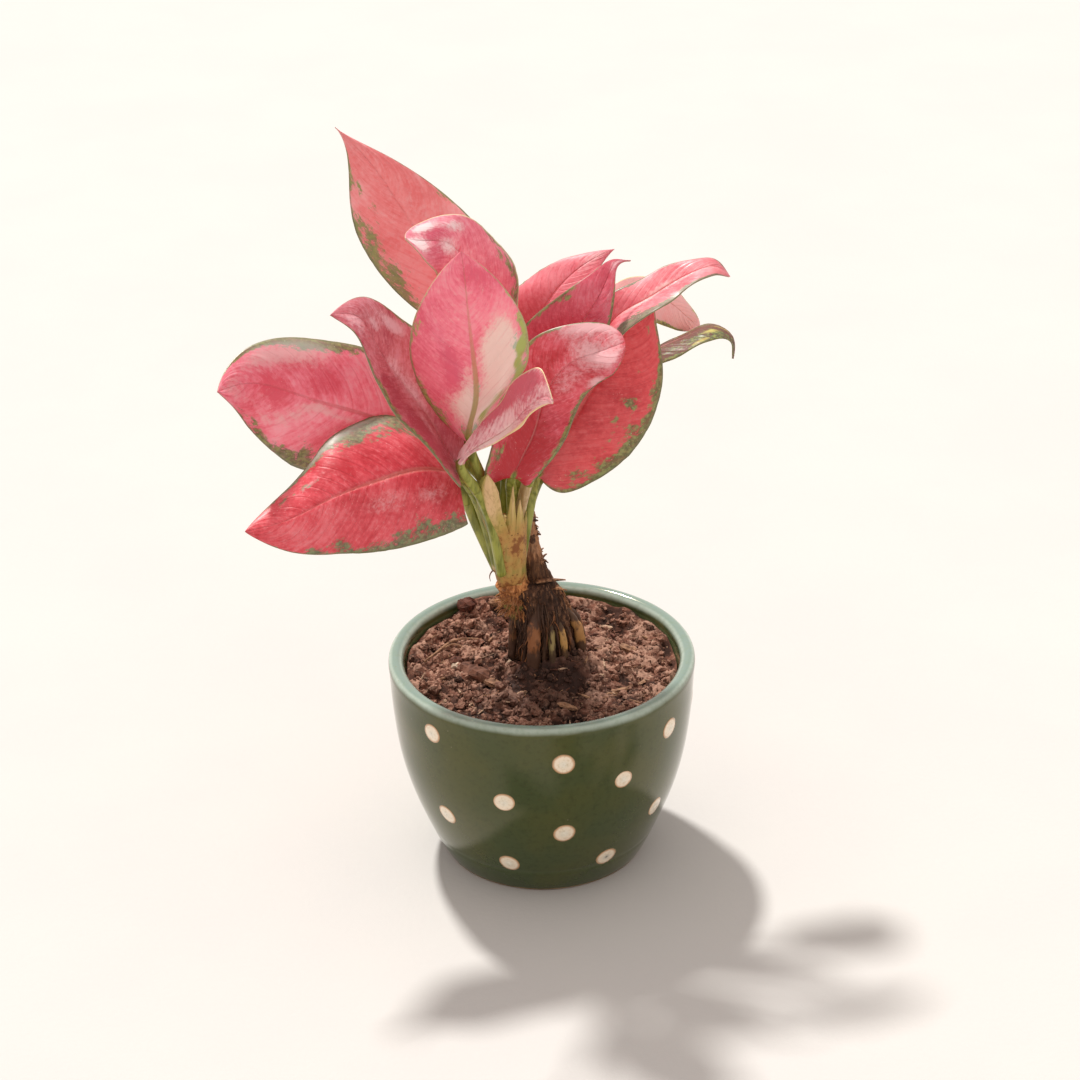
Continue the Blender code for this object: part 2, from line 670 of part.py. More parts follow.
def add_bracts(repeats):
    for number, (root, tip, wide, thick) in enumerate(BRACTS):
        root, tip = np.array(root, float), np.array(tip, float)
        share = np.array([0.0, 0.35, 0.65, 0.85, 0.97])
        swell = np.array([1.0, 0.92, 0.7, 0.4, 0.12])
        outward = unit(np.array([tip[0] + 14, tip[1], 0.0]))
        bow = 1.2 * np.sin(math.pi * share)
        middle = root + (tip - root) * share[:, None] + outward * bow[:, None]
        along = unit(np.cross(np.array([0, 0, 1.0]), outward))
        turn = np.arange(6) / 6 * 2 * math.pi
        flat = along * np.cos(turn)[:, None] * wide
        deep = outward * np.sin(turn)[:, None]
        rings = middle[:, None] + flat * swell[:, None, None]
        rings = rings + deep * (thick * np.maximum(swell, 0.35))[:, None, None]
        add_mesh(f"bract_{number}", *skin(rings), repeats)


def add_stubs(repeats):
    """The lower part of each leaf's stalk, which is one with the sheath bundle."""
    for leaf in LEAVES:
        at, foot, _ = leaf_path(leaf)
        length = np.linalg.norm(at(np.array([foot]))[0] - stalk_start(leaf))
        stop = foot * (1 - 0.5 * GAP / length)
        shares = np.linspace(0, stop, 3)
        add_mesh(f"stub_{leaf.name}", *skin(leaf_rings(leaf, shares, STALK_ACROSS)), repeats)


def add_scraps(repeats, random):
    """Dry bristles and torn sheath on the node ring, the old cane and the crown."""
    placed = [((2, 1, 117), (10.5, 0.5, 119.5), 1.8), ((-16, -1, 119), (-19.5, -3, 125), 0.7)]
    for _ in range(7):
        z = random.uniform(114, 150)
        middle = np.array([np.interp(z, [108, 125, 150], [3, 0.2, -4.6]), 4.0, z])
        turn = random.uniform(-0.9, 0.9)
        outward = np.array([math.cos(turn), math.sin(turn), random.uniform(-0.1, 0.5)])
        reach = np.interp(z, [108, 150], [7.5, 4.0])
        placed.append((middle + outward * (reach - 2), middle + outward * (reach + 2), 0.8))
    for _ in range(8):
        turn = random.uniform(-math.pi, 0.2)
        outward = np.array([math.cos(turn), 0.85 * math.sin(turn), -0.35])
        middle = np.array([-8.0, 0.6, random.uniform(113, 119)])
        placed.append((middle + outward * 4.5, middle + outward * random.uniform(9, 11), 0.8))
    for number, (root, tip, radius) in enumerate(placed):
        root, tip = np.array(root, float), np.array(tip, float)
        path = [root, 0.5 * (root + tip) + (0, 0, 0.4), tip]
        rings = tube_rings(path, (radius, 0.6 * radius, 0.25), 5, 4)
        add_mesh(f"scrap_{number}", *skin(rings), repeats)


def add_stem(collection):
    random = np.random.default_rng(11)
    brown = material("stem", (0.30, 0.22, 0.09), 0.7)
    crown = ellipse_rings(CROWN_RINGS, 16)
    above = crown[3:-1, :, :2]
    middle = above.mean(axis=1, keepdims=True)
    above[:] = middle + (above - middle) * random.uniform(0.93, 1.07, above.shape[:2] + (1,))
    stem = add_mesh("stem", *skin(crown), collection, brown)
    repeats = helper_collection("stem_pieces")
    add_mesh("bundle", *skin(ellipse_rings(BUNDLE_RINGS, 12)), repeats)
    add_mesh("cane", *skin(ellipse_rings(CANE_RINGS, 9, 0.07, random)), repeats)
    add_prop_roots(repeats)
    add_bracts(repeats)
    add_stubs(repeats)
    add_scraps(repeats, random)
    union(stem, repeats)
    return stem


def add_leaf(leaf, collection):
    """One leaf from the cut at its foot to its tip."""
    red = material(leaf.name, leaf.colour, 0.45)
    at, foot, base = leaf_path(leaf)
    length = np.linalg.norm(at(np.array([base]))[0] - np.array(leaf.foot))
    start = foot + (base - foot) * 0.5 * GAP / length
    stalk = np.linspace(start, base, 4, endpoint=False)
    along = 0.5 - 0.5 * np.cos(np.linspace(0, math.pi, LEAF_STEPS))
    along[-1] = 0.995
    shares = np.concatenate([stalk, base + (1 - base) * along])
    rings = leaf_rings(leaf, shares, LEAF_ACROSS)
    return add_mesh(leaf.name, *skin(rings, mirrored_half=True), collection, red)


def main():
    clear_scene()
    collection = bpy.data.collections.new("potted_aglaonema")
    bpy.context.scene.collection.children.link(collection)
    add_pot(collection)
    add_soil(collection)
    add_stem(collection)
    for leaf in LEAVES:
        add_leaf(leaf, collection)


main()
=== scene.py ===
"""A potted aglaonema: a glazed dotted pot, crumbly soil, a stem on prop roots and red leaves.

Each part is a dataclass that works out its surfaces with numpy and dresses them with
procedural finishes. All sizes are in millimetres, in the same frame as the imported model.
"""

import logging
import math
from dataclasses import dataclass, field
from enum import Enum
from typing import Callable, Iterator, Sequence

import bpy
import numpy as np
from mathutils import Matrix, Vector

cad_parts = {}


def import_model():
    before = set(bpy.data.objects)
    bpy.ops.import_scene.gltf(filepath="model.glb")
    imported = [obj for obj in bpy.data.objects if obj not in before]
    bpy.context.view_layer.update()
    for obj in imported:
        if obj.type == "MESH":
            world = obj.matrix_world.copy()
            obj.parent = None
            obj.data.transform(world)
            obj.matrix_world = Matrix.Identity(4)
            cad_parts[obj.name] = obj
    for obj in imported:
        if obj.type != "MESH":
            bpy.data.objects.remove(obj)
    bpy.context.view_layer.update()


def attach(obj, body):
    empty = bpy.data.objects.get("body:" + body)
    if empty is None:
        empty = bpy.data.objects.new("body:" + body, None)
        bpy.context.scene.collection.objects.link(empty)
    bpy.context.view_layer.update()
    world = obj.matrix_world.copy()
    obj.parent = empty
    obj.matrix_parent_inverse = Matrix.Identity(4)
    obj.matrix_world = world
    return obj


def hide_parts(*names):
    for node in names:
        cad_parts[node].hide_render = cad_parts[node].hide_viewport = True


Array = np.ndarray
Colour = tuple[float, float, float]
Point = tuple[float, float, float]
Keys = tuple[float, float, float]
Ovals = Sequence[Sequence[float]]
Object = bpy.types.Object
Material = bpy.types.Material

MM = 0.001
LOG = logging.getLogger("potted_aglaonema")
CROWN_MIDDLE = np.array([2.0, 3.0, 0.0])


class Slot(Enum):
    """The record's material slots."""

    GLAZE = "glaze"
    SOIL = "soil"
    STEM = "stem"
    LEAF_PINK = "leaf_pink"
    LEAF_CRIMSON = "leaf_crimson"
    LEAF_STRIPED = "leaf_striped"


class Operation(Enum):
    """The Math node's operations that the expressions use."""

    ADD = "ADD"
    SUBTRACT = "SUBTRACT"
    MULTIPLY = "MULTIPLY"
    DIVIDE = "DIVIDE"
    POWER = "POWER"
    ABSOLUTE = "ABSOLUTE"
    FRACT = "FRACT"


# Numbers and vectors.


def unit(vectors: Array) -> Array:
    """Scales vectors along the last axis to length 1."""
    return vectors / np.linalg.norm(vectors, axis=-1, keepdims=True)


def smooth(values: Array, low: float, high: float) -> Array:
    """A smooth step from 0 at low to 1 at high: 3 x squared minus 2 x cubed."""
    x = np.clip((np.asarray(values, float) - low) / (high - low), 0.0, 1.0)
    return x * x * (3 - 2 * x)


def bell(*terms: tuple[Array, float, float]) -> Array:
    """A bell: e to the minus sum of squares of each value less its middle, over its reach."""
    return np.exp(-sum(((value - middle) / reach) ** 2 for value, middle, reach in terms))


def through(values: Sequence, share: Array) -> Array:
    """A quadratic of the share from 0 to 1 through a first, middle and last value.

    Args:
        values: Three numbers or vectors.
        share: The shares.

    Returns:
        The value at each share.
    """
    first, middle, last = (np.asarray(v, float) for v in values)
    share = np.asarray(share, float)
    if first.ndim:
        share = share[..., None]
    rise = share * (1 - share)
    return first * (1 - share) ** 2 + (4 * middle - first - last) * rise + last * share**2


def spline(points: Sequence) -> tuple[Callable[[Array], Array], Array]:
    """A natural cubic spline, with knots spaced by the chords' length to the power 0.75.

    Args:
        points: The points it goes through.

    Returns:
        The spline as a function of shares from 0 to 1, and the knots' shares.
    """
    points = np.asarray(points, float)
    chord = np.linalg.norm(np.diff(points, axis=0), axis=1) ** 0.75
    knots = np.concatenate([[0.0], np.cumsum(chord)]) / chord.sum()
    step = np.diff(knots)
    count = len(points)
    matrix = np.eye(count)
    right = np.zeros_like(points)
    inner = np.arange(1, count - 1)
    matrix[inner, inner - 1] = step[:-1]
    matrix[inner, inner] = 2 * (step[:-1] + step[1:])
    matrix[inner, inner + 1] = step[1:]
    slope = np.diff(points, axis=0) / step[:, None]
    right[inner] = 6 * np.diff(slope, axis=0)
    bend = np.linalg.solve(matrix, right)

    def at(share: Array) -> Array:
        """The spline's points at the shares."""
        share = np.asarray(share, float)
        i = np.clip(np.searchsorted(knots, share, side="right") - 1, 0, count - 2)
        after = (share - knots[i])[:, None]
        before = (knots[i + 1] - share)[:, None]
        h = step[i][:, None]
        cubic = (bend[i] * before**3 + bend[i + 1] * after**3) / (6 * h)
        low = points[i] / h - bend[i] * h / 6
        high = points[i + 1] / h - bend[i + 1] * h / 6
        return cubic + low * before + high * after

    return at, knots


def tangents(at: Callable[[Array], Array], shares: Array) -> Array:
    """Unit directions of a path: the difference of two near points, scaled to length 1."""
    small = 1e-4
    return unit(at(np.clip(shares + small, 0, 1)) - at(np.clip(shares - small, 0, 1)))


def scatter(cell: Array, seed: int) -> Array:
    """A number from 0 to 1 for each whole cell: the last bits of an integer hash of it.

    Args:
        cell: Whole coordinates.
        seed: Which scatter.

    Returns:
        One number a cell.
    """
    weights = np.array([374761393, 668265263, 2147483647])[: cell.shape[-1]]
    mixed = (cell.astype(np.int64) * weights).sum(axis=-1) + seed * 1274126177
    mixed = (mixed ^ (mixed >> 13)) * 1103515245
    mixed = mixed ^ (mixed >> 16)
    return (mixed & 0xFFFFFF) / float(0x1000000)


def value_noise(points: Array, seed: int = 0) -> Array:
    """Smooth noise from -1 to 1: hashed lattice values blended by a smooth step per axis.

    Args:
        points: Coordinates in lattice cells.
        seed: Which noise.

    Returns:
        The noise.
    """
    cell = np.floor(points)
    part = points - cell
    part = part * part * (3 - 2 * part)
    total = np.zeros(points.shape[:-1])
    for corner in np.ndindex(*(2,) * points.shape[-1]):
        share = np.where(np.array(corner), part, 1 - part).prod(axis=-1)
        total += share * scatter(cell + corner, seed)
    return 2 * total - 1


def rough_noise(points: Array, octaves: int, seed: int = 0, keep: float = 0.5) -> Array:
    """Noise in octaves: each has twice the frequency and keep times the height before.

    Args:
        points: Coordinates in cells of the largest octave.
        octaves: How many octaves.
        seed: Which noise.
        keep: Each octave's height as a share.

    Returns:
        The noise, about -1 to 1.
    """
    total = np.zeros(points.shape[:-1])
    reach = 0.0
    for octave in range(octaves):
        total += keep**octave * value_noise(points * 2.0**octave + 17.3 * octave, seed + octave)
        reach += keep**octave
    return total / reach


def joined(*parts: Array) -> Array:
    """Puts coordinates side by side along a new last axis, spread to the same shape."""
    return np.stack(np.broadcast_arrays(*parts), axis=-1)


def around(count: int) -> Array:
    """Angles in radians, evenly round a circle."""
    return np.arange(count) / count * 2 * math.pi


def facing(turn: float) -> Array:
    """The level direction at that angle in radians from x towards y."""
    return np.array([math.cos(turn), math.sin(turn), 0.0])


# Meshes.


def tube_faces(count: int, ring: int) -> Array:
    """The quads between each ring of a tube and the next, closed round the ring."""
    i, j = np.meshgrid(np.arange(count - 1), np.arange(ring), indexing="ij")
    a = (i * ring + j).ravel()
    b = (i * ring + (j + 1) % ring).ravel()
    return np.column_stack([a, b, b + ring, a + ring])


@dataclass
class Sheet:
    """Points, quads, triangles and values at the points, which grow as surfaces are added."""

    points: list[Array] = field(default_factory=list)
    faces: list[Array] = field(default_factory=list)
    values: dict[str, list[Array]] = field(default_factory=dict)
    count: int = 0

    def add(self, points: Array, faces: Sequence[Array], **values: Array | float) -> None:
        """Adds a surface.

        Args:
            points: Its points, flattened to rows of x, y and z.
            faces: Arrays of quads or triangles that count from its first point.
            values: Named values, one a point or one for all.
        """
        rows = np.asarray(points, float).reshape(-1, 3)
        self.points.append(rows)
        self.faces.extend(np.asarray(f) + self.count for f in faces)
        for name, value in values.items():
            full = np.broadcast_to(np.asarray(value, float), (len(rows),))
            self.values.setdefault(name, []).append(full)
        self.count += len(rows)

    def add_tube(self, rings: Array, **values: Array | float) -> None:
        """Adds a tube over the rings, closed at both ends by a fan about the ring's middle.

        Args:
            rings: Points as (rings, points in a ring, 3).
            values: Named values: one for all, one a ring, or one a ring and point.
        """
        count, ring = rings.shape[:2]
        ends = np.stack([rings[0].mean(axis=0), rings[-1].mean(axis=0)])
        k = np.arange(ring)
        after = (k + 1) % ring
        last = (count - 1) * ring
        first_fan = np.column_stack([after, k, np.full(ring, count * ring)])
        last_fan = np.column_stack([last + k, last + after, np.full(ring, count * ring + 1)])
        faces = [tube_faces(count, ring), first_fan, last_fan]
        corners = np.vstack([rings.reshape(-1, 3), ends])
        quads = corners[faces[0]]
        normal = np.cross(quads[:, 2] - quads[:, 0], quads[:, 3] - quads[:, 1])
        if ((quads.mean(axis=1) - corners.mean(axis=0)) * normal).sum() < 0:
            faces = [f[:, ::-1] for f in faces]
        full = {}
        for name, value in values.items():
            value = value[:, None] if np.ndim(value) == 1 else value
            value = np.broadcast_to(value, (count, ring)).astype(float)
            full[name] = np.concatenate([value.ravel(), [value[0].mean(), value[-1].mean()]])
        self.add(corners, faces, **full)

    def add_wire(
        self, points: Sequence, radii: Sequence[float], sides: int, steps: int, **values: float
    ) -> None:
        """Adds a round tube through the points. The arguments are those of tube and add_tube."""
        self.add_tube(tube(points, radii, sides, steps), **values)

    def build(
        self, name: str, material: Material, slot: Slot | None = None, *nodes: str,
        is_smooth: bool = True,
    ) -> Object:
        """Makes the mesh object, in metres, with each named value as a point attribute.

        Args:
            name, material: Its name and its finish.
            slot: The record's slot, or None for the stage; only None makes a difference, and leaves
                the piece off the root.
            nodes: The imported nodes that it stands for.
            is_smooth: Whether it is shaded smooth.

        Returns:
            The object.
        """
        mesh = bpy.data.meshes.new(name)
        points = np.vstack(self.points) * MM
        faces = [row for block in self.faces for row in block.tolist()]
        mesh.from_pydata(points.tolist(), [], faces)
        mesh.polygons.foreach_set("use_smooth", [is_smooth] * len(mesh.polygons))
        for title, blocks in self.values.items():
            layer = mesh.attributes.new(title, "FLOAT", "POINT")
            layer.data.foreach_set("value", np.concatenate(blocks).astype(np.float32))
        mesh.materials.append(material)
        mesh.update()
        made = bpy.data.objects.new(name, mesh)
        bpy.context.scene.collection.objects.link(made)
        if slot is None:
            return made
        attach(made, "root")
        if nodes:
            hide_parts(*nodes)
        return made


def rings_about(middle: Array, first: Array, second: Array, radius: Array, sides: int) -> Array:
    """Rings about a path: middle plus radius times (first cos angle plus second sin angle).

    Args:
        middle: The path's points.
        first, second, radius: The ring's two axes and its radius at each point.
        sides: Points in a ring.

    Returns:
        Points as (rings, sides, 3).
    """
    cos, sin = (f(around(sides))[:, None] for f in (np.cos, np.sin))
    across = first[:, None] * cos + second[:, None] * sin
    return middle[:, None] + across * radius[:, None, None]


def tube(points: Sequence, radii: Sequence[float], sides: int, steps: int) -> Array:
    """Rings of a round tube along a spline.

    Args:
        points: The points its middle goes through.
        radii: Radii from its start to its end, evenly spread.
        sides, steps: Points in a ring, and rings.

    Returns:
        Points as (steps, sides, 3).
    """
    at, _ = spline(points)
    share = np.linspace(0, 1, steps)
    tangent = tangents(at, share)
    first = unit(np.cross(tangent, np.array([0.31, 0.95, 0.05])))
    radius = np.interp(share, np.linspace(0, 1, len(radii)), radii)
    return rings_about(at(share), first, np.cross(tangent, first), radius, sides)


# Shader expressions.


def operator(operation: Operation, is_reflected: bool = False) -> Callable:
    """A method that adds a Math node on a signal and, for two values, on the other one."""

    def method(self: "Signal", *others: "Signal | float") -> "Signal":
        """The operation's result, as a signal."""
        values = (self, *others)
        return self.finish.math(operation, *(values[::-1] if is_reflected else values))

    return method


@dataclass(frozen=True)
class Signal:
    """One output socket of a finish's nodes, with the arithmetic operators."""

    finish: "Finish"
    socket: bpy.types.NodeSocket

    __add__ = operator(Operation.ADD)
    __radd__ = operator(Operation.ADD, True)
    __sub__ = operator(Operation.SUBTRACT)
    __rsub__ = operator(Operation.SUBTRACT, True)
    __mul__ = operator(Operation.MULTIPLY)
    __rmul__ = operator(Operation.MULTIPLY, True)
    __truediv__ = operator(Operation.DIVIDE)
    __pow__ = operator(Operation.POWER)
    __abs__ = operator(Operation.ABSOLUTE)

    def step(self, low: float, high: float, start: float = 0.0, end: float = 1.0) -> "Signal":
        """A smooth step.

        Args:
            low, high: Where it starts and ends, in either order.
            start, end: The results on the two sides.

        Returns:
            The stepped value.
        """
        sockets = {0: self, 1: low, 2: high, 3: start, 4: end}
        if low > high:
            sockets = {0: self, 1: high, 2: low, 3: end, 4: start}
        return self.finish.made("MapRange", sockets, interpolation_type="SMOOTHSTEP")


@dataclass
class Finish:
    """A procedural material in the making. Each finish lays its own coats in paint."""

    name: str

    def __post_init__(self) -> None:
        """Starts the material with no node but its Object coordinates, in metres."""
        self.material = bpy.data.materials.new(self.name)
        self.material.use_nodes = True
        self.material.node_tree.nodes.clear()
        self.place = self.made("TexCoord", output="Object")

    def made(
        self, kind: str, sockets: dict | None = None, output: str | int = 0, **settings: str
    ) -> Signal | None:
        """Makes a node.

        Args:
            kind: Its type, after ShaderNode.
            sockets: Values or signals by the input's name or number.
            output: The output that is wanted.
            settings: Its own settings, which are set first.

        Returns:
            That output, or None from a node that has none.
        """
        tree = self.material.node_tree
        node = tree.nodes.new("ShaderNode" + kind)
        for key, value in settings.items():
            setattr(node, key, value)
        for key, value in (sockets or {}).items():
            if isinstance(value, Signal):
                tree.links.new(value.socket, node.inputs[key])
            elif node.inputs[key].type == "RGBA":
                node.inputs[key].default_value = (*value, 1.0)
            else:
                node.inputs[key].default_value = value
        return Signal(self, node.outputs[output]) if node.outputs else None

    def math(self, operation: Operation, *values: Signal | float) -> Signal:
        """A Math node on one or two values."""
        return self.made("Math", dict(enumerate(values)), operation=operation.value)

    def value(self, name: str) -> Signal:
        """The piece's own point attribute of that name."""
        return self.made("Attribute", output="Fac", attribute_name=name)

    def vector(self, *parts: Signal | float) -> Signal:
        """A vector of three parts."""
        return self.made("CombineXYZ", dict(enumerate(parts)))

    def drawn(self, *scale: float) -> Signal:
        """Object coordinates scaled along each axis: a small scale draws a pattern out."""
        return self.made("VectorMath", {0: self.place, 1: scale}, operation="MULTIPLY")

    def noise(
        self, scale: float, detail: float = 3.0, roughness: float = 0.55, at: Signal | None = None
    ) -> Signal:
        """Noise from 0 to 1 at the given coordinates, or else at the object's own."""
        sockets = {"Vector": at or self.place, "Scale": scale, "Detail": detail}
        return self.made("TexNoise", sockets | {"Roughness": roughness}, "Fac")

    def specks(self, scale: float, low: float, high: float) -> Signal:
        """1 at points scattered one a cell, fading to 0 between the two distances."""
        sockets = {"Vector": self.place, "Scale": scale}
        return 1 - self.made("TexVoronoi", sockets, "Distance").step(low, high)

    def mix(
        self, factor: Signal | float, low: Colour | Signal, high: Colour | Signal,
        blend: str = "MIX",
    ) -> Signal:
        """A colour between low at factor 0 and high at 1. MULTIPLY makes high a tint."""
        sockets = {0: factor, 6: low, 7: high}
        return self.made("Mix", sockets, 2, data_type="RGBA", blend_type=blend)

    def start(self, factor: Signal, low: Colour, high: Colour) -> None:
        """Starts the colour with a mix of two."""
        self.colour = self.mix(factor, low, high)

    def lay(self, factor: Signal, coat: Colour | Signal) -> None:
        """Lays a coat over the colour so far, as thick as the factor says."""
        self.colour = self.mix(factor, self.colour, coat)

    def tint(self, factor: Signal | float, tint: Colour) -> None:
        """Multiplies the colour so far by a tint, as far as the factor says."""
        self.colour = self.mix(factor, self.colour, tint, "MULTIPLY")

    def shade(
        self, bump: Signal, relief: float, roughness: Signal | float, specular: float = 0.5,
        glow: tuple[Signal | float, Colour] | None = None, **others: Signal | float | Colour,
    ) -> Material:
        """Ends the material in a Principled shader with the colour so far.

        Args:
            bump: A height from 0 to 1.
            relief: The height in millimetres of a full step of bump.
            roughness: Its roughness.
            specular: Its specular level.
            glow: The share and the colour of the light let through, or None.
            others: Its other inputs, with _ for each space.

        Returns:
            The finished material.
        """
        heights = {"Height": bump, "Distance": relief * MM, "Strength": 1.0}
        normal = self.made("Bump", heights)
        sockets = {"Base Color": self.colour, "Normal": normal, "Roughness": roughness}
        sockets["Specular IOR Level"] = specular
        sockets |= {name.replace("_", " "): value for name, value in others.items()}
        result = self.made("BsdfPrincipled", sockets)
        if glow is not None:
            light = self.made("BsdfTranslucent", {"Color": glow[1]})
            result = self.made("MixShader", {0: glow[0], 1: result, 2: light})
        self.made("OutputMaterial", {"Surface": result})
        self.material.diffuse_color = (0.5, 0.5, 0.5, 1.0)
        return self.material


# Finishes.


@dataclass
class GlazeFinish(Finish):
    """Dark green glossy glaze that breaks pale on the lip, partly painted light there, and stops
    above a bare clay foot.
    """

    name: str = "glaze_green"
    body: Colour = (0.037, 0.058, 0.019)
    cloudy: Colour = (0.054, 0.066, 0.017)
    mottled: Colour = (0.6, 0.66, 0.6)
    inside: Colour = (0.10, 0.14, 0.06)
    pool_and_reflection: Colour = (0.205, 0.29, 0.265)
    lip: Colour = (0.38, 0.47, 0.42)
    lip_mottle: Colour = (0.2, 0.28, 0.2)
    groove: Colour = (0.07, 0.1, 0.045)
    clay: Colour = (0.36, 0.24, 0.15)
    dark_clay: Colour = (0.2, 0.12, 0.07)
    pit: Colour = (0.22, 0.2, 0.12)
    gloss_tint: Colour = (1.0, 0.80, 0.52)
    lip_height: float = 86.9
    foot_height: float = 1.1
    # The radii over which the glaze thins at the rim's outer and inner edge, where its pale colour
    # also paints highlight lines.
    edges: Sequence[tuple[float, float]] = ((60.3, 61.6), (57.0, 58.4))

    def paint(self) -> Material:
        """Cloudy glaze, paler on the lip and in the groove, with pits and a bare foot."""
        x, y, z = (self.made("SeparateXYZ", {0: self.place}, i) for i in range(3))
        height = z * 1000
        cloud = self.noise(38, 3, 0.5)
        mottle = self.noise(420, 3, 0.6)
        self.start(cloud.step(0.35, 0.68), self.body, self.cloudy)
        self.tint(mottle.step(0.45, 0.75) * 0.6, self.mottled)
        self.lay(self.value("inner") * 0.8, self.inside)
        wander = (self.noise(55, 2) - 0.5) * 1.6
        lip = (height + wander).step(self.lip_height - 1.6, self.lip_height + 1.0)
        squared = (x * x + y * y) * 1e6 + wander * 60
        # Painted light on the lip: the pale edges are partly thin glaze and partly painted
        # highlight lines, and the bluish middle is partly a painted reflection of the sky.
        outer, inner = (squared.step(a**2, b**2) for a, b in self.edges)
        thin_and_highlit = self.mix(outer + (1 - inner), self.pool_and_reflection, self.lip)
        self.lay(lip * 0.9, self.mix(mottle.step(0.4, 0.7) * 0.35, thin_and_highlit, self.lip_mottle))
        self.lay(self.value("groove") * 0.5, self.groove)
        edge = height + (self.noise(160, 3) - 0.5) * 0.8
        bare = 1 - edge.step(self.foot_height - 0.25, self.foot_height + 0.25)
        self.lay(bare, self.mix(mottle.step(0.3, 0.7), self.clay, self.dark_clay))
        pits = self.specks(210, 0.02, 0.09) * self.noise(33, 1).step(0.52, 0.62) * (1 - bare)
        self.lay(pits * 0.6, self.pit)
        rough = bare.step(0, 1, 0.09, 0.85) + mottle * 0.05
        return self.shade(
            cloud * 0.8 - pits * 0.6 + mottle * 0.05, 0.12, rough, Coat_Weight=(1 - bare) * 0.15,
            Coat_Roughness=0.03, Specular_Tint=self.gloss_tint, IOR=1.5,
        )


@dataclass
class DotFinish(Finish):
    """Cream slip under clear glaze, burnt orange where the glaze pulls back round the dot."""

    name: str = "slip_cream"
    middle: Colour = (0.78, 0.74, 0.62)
    cream: Colour = (0.86, 0.74, 0.58)
    grainy: Colour = (0.82, 0.78, 0.7)
    halo: Colour = (0.50, 0.27, 0.12)
    glaze: Colour = (0.08, 0.07, 0.02)
    pinhole: Colour = (0.012, 0.012, 0.008)

    def paint(self) -> Material:
        """Grainy slip, then the halo, the glaze's edge and the pinhole."""
        grain = self.noise(900, 3)
        out = self.value("out") + (self.noise(300, 2) - 0.5) * 0.1
        self.start(out.step(0.0, 0.7), self.middle, self.cream)
        self.tint(grain.step(0.45, 0.75), self.grainy)
        self.lay(out.step(0.7, 0.95), self.halo)
        self.lay(out.step(0.9, 1.04), self.glaze)
        hole = self.value("hole")
        self.lay(hole, self.pinhole)
        coat = {"Coat_Weight": 0.5, "Coat_Roughness": 0.05}
        return self.shade(grain * 0.3 - hole, 0.1, 0.12 + grain * 0.08, **coat)


@dataclass
class SoilFinish(Finish):
    """Reddish-brown potting mix: pale tips, partly dry and partly painted light, painted shade in
    the gaps, and moist soil with the plant's painted shadow near the crown.
    """

    name: str = "soil_brown"
    dark: Colour = (0.020, 0.008, 0.005)
    dry: Colour = (0.18, 0.074, 0.047)
    tip: Colour = (0.44, 0.26, 0.19)
    soaked_and_shaded: Colour = (0.36, 0.3, 0.28)
    damp: Colour = (0.040, 0.016, 0.010)
    straw: Colour = (0.42, 0.27, 0.17)

    def paint(self) -> Material:
        """Dark to dry by lumps, pale tips partly painted light, painted shade in the gaps, the
        moist patch with the plant's painted shadow, and straw specks.
        """
        coarse = self.noise(190, 4, 0.6)
        fine = self.noise(900, 3, 0.6)
        fibre = self.noise(1400, 2, at=self.drawn(1.0, 0.25, 1.0))
        height, tint, damp = (self.value(name) for name in ("high", "tint", "damp"))
        self.start((coarse + tint * 0.35).step(0.38, 0.78), self.dark, self.dry)
        # Pale tips on the tops of lumps and crumbs: partly dry soil, partly painted light.
        self.lay((fine * 0.6 + height * 0.4 + tint * 0.12).step(0.52, 0.78) * 0.8, self.tip)
        # Painted shade: the dark colour again in the gaps between lumps and under each crumb.
        self.lay((1 - height).step(0.5, 0.95) * 0.8, self.dark)
        # Moist soil, and the plant's shadow painted on the soil before the crown.
        wet_and_shaded = damp * (0.55 + coarse * 0.6)
        self.lay(wet_and_shaded, self.mix(0.9, self.colour, self.soaked_and_shaded, "MULTIPLY"))
        self.lay(wet_and_shaded * damp * 0.6, self.damp)
        specks = self.specks(330, 0.06, 0.16) * self.noise(120, 1).step(0.6, 0.68)
        self.lay(specks * 0.7, self.straw)
        bump = coarse * 0.5 + fine * 0.4 + fibre * 0.1
        return self.shade(bump, 0.9, 0.95 - damp * 0.3, 0.25)


@dataclass
class ChipFinish(Finish):
    """Bark chips, twigs and small stones; the tone attribute runs from bark to pale stone."""

    name: str = "bark_chips"
    bark: Colour = (0.12, 0.04, 0.024)
    wood: Colour = (0.34, 0.19, 0.11)
    stone: Colour = (0.62, 0.50, 0.38)
    grime: Colour = (0.32, 0.26, 0.24)

    def paint(self) -> Material:
        """Bark, wood or stone by tone, with dark grain."""
        grain = self.noise(700, 4, 0.65, self.drawn(0.35, 1.0, 1.0))
        tone = self.value("tone")
        self.start(tone.step(0.0, 0.5), self.bark, self.wood)
        self.lay(tone.step(0.6, 1.0), self.stone)
        self.tint(grain.step(0.42, 0.68), self.grime)
        return self.shade(grain, 0.5, 0.78, 0.3)


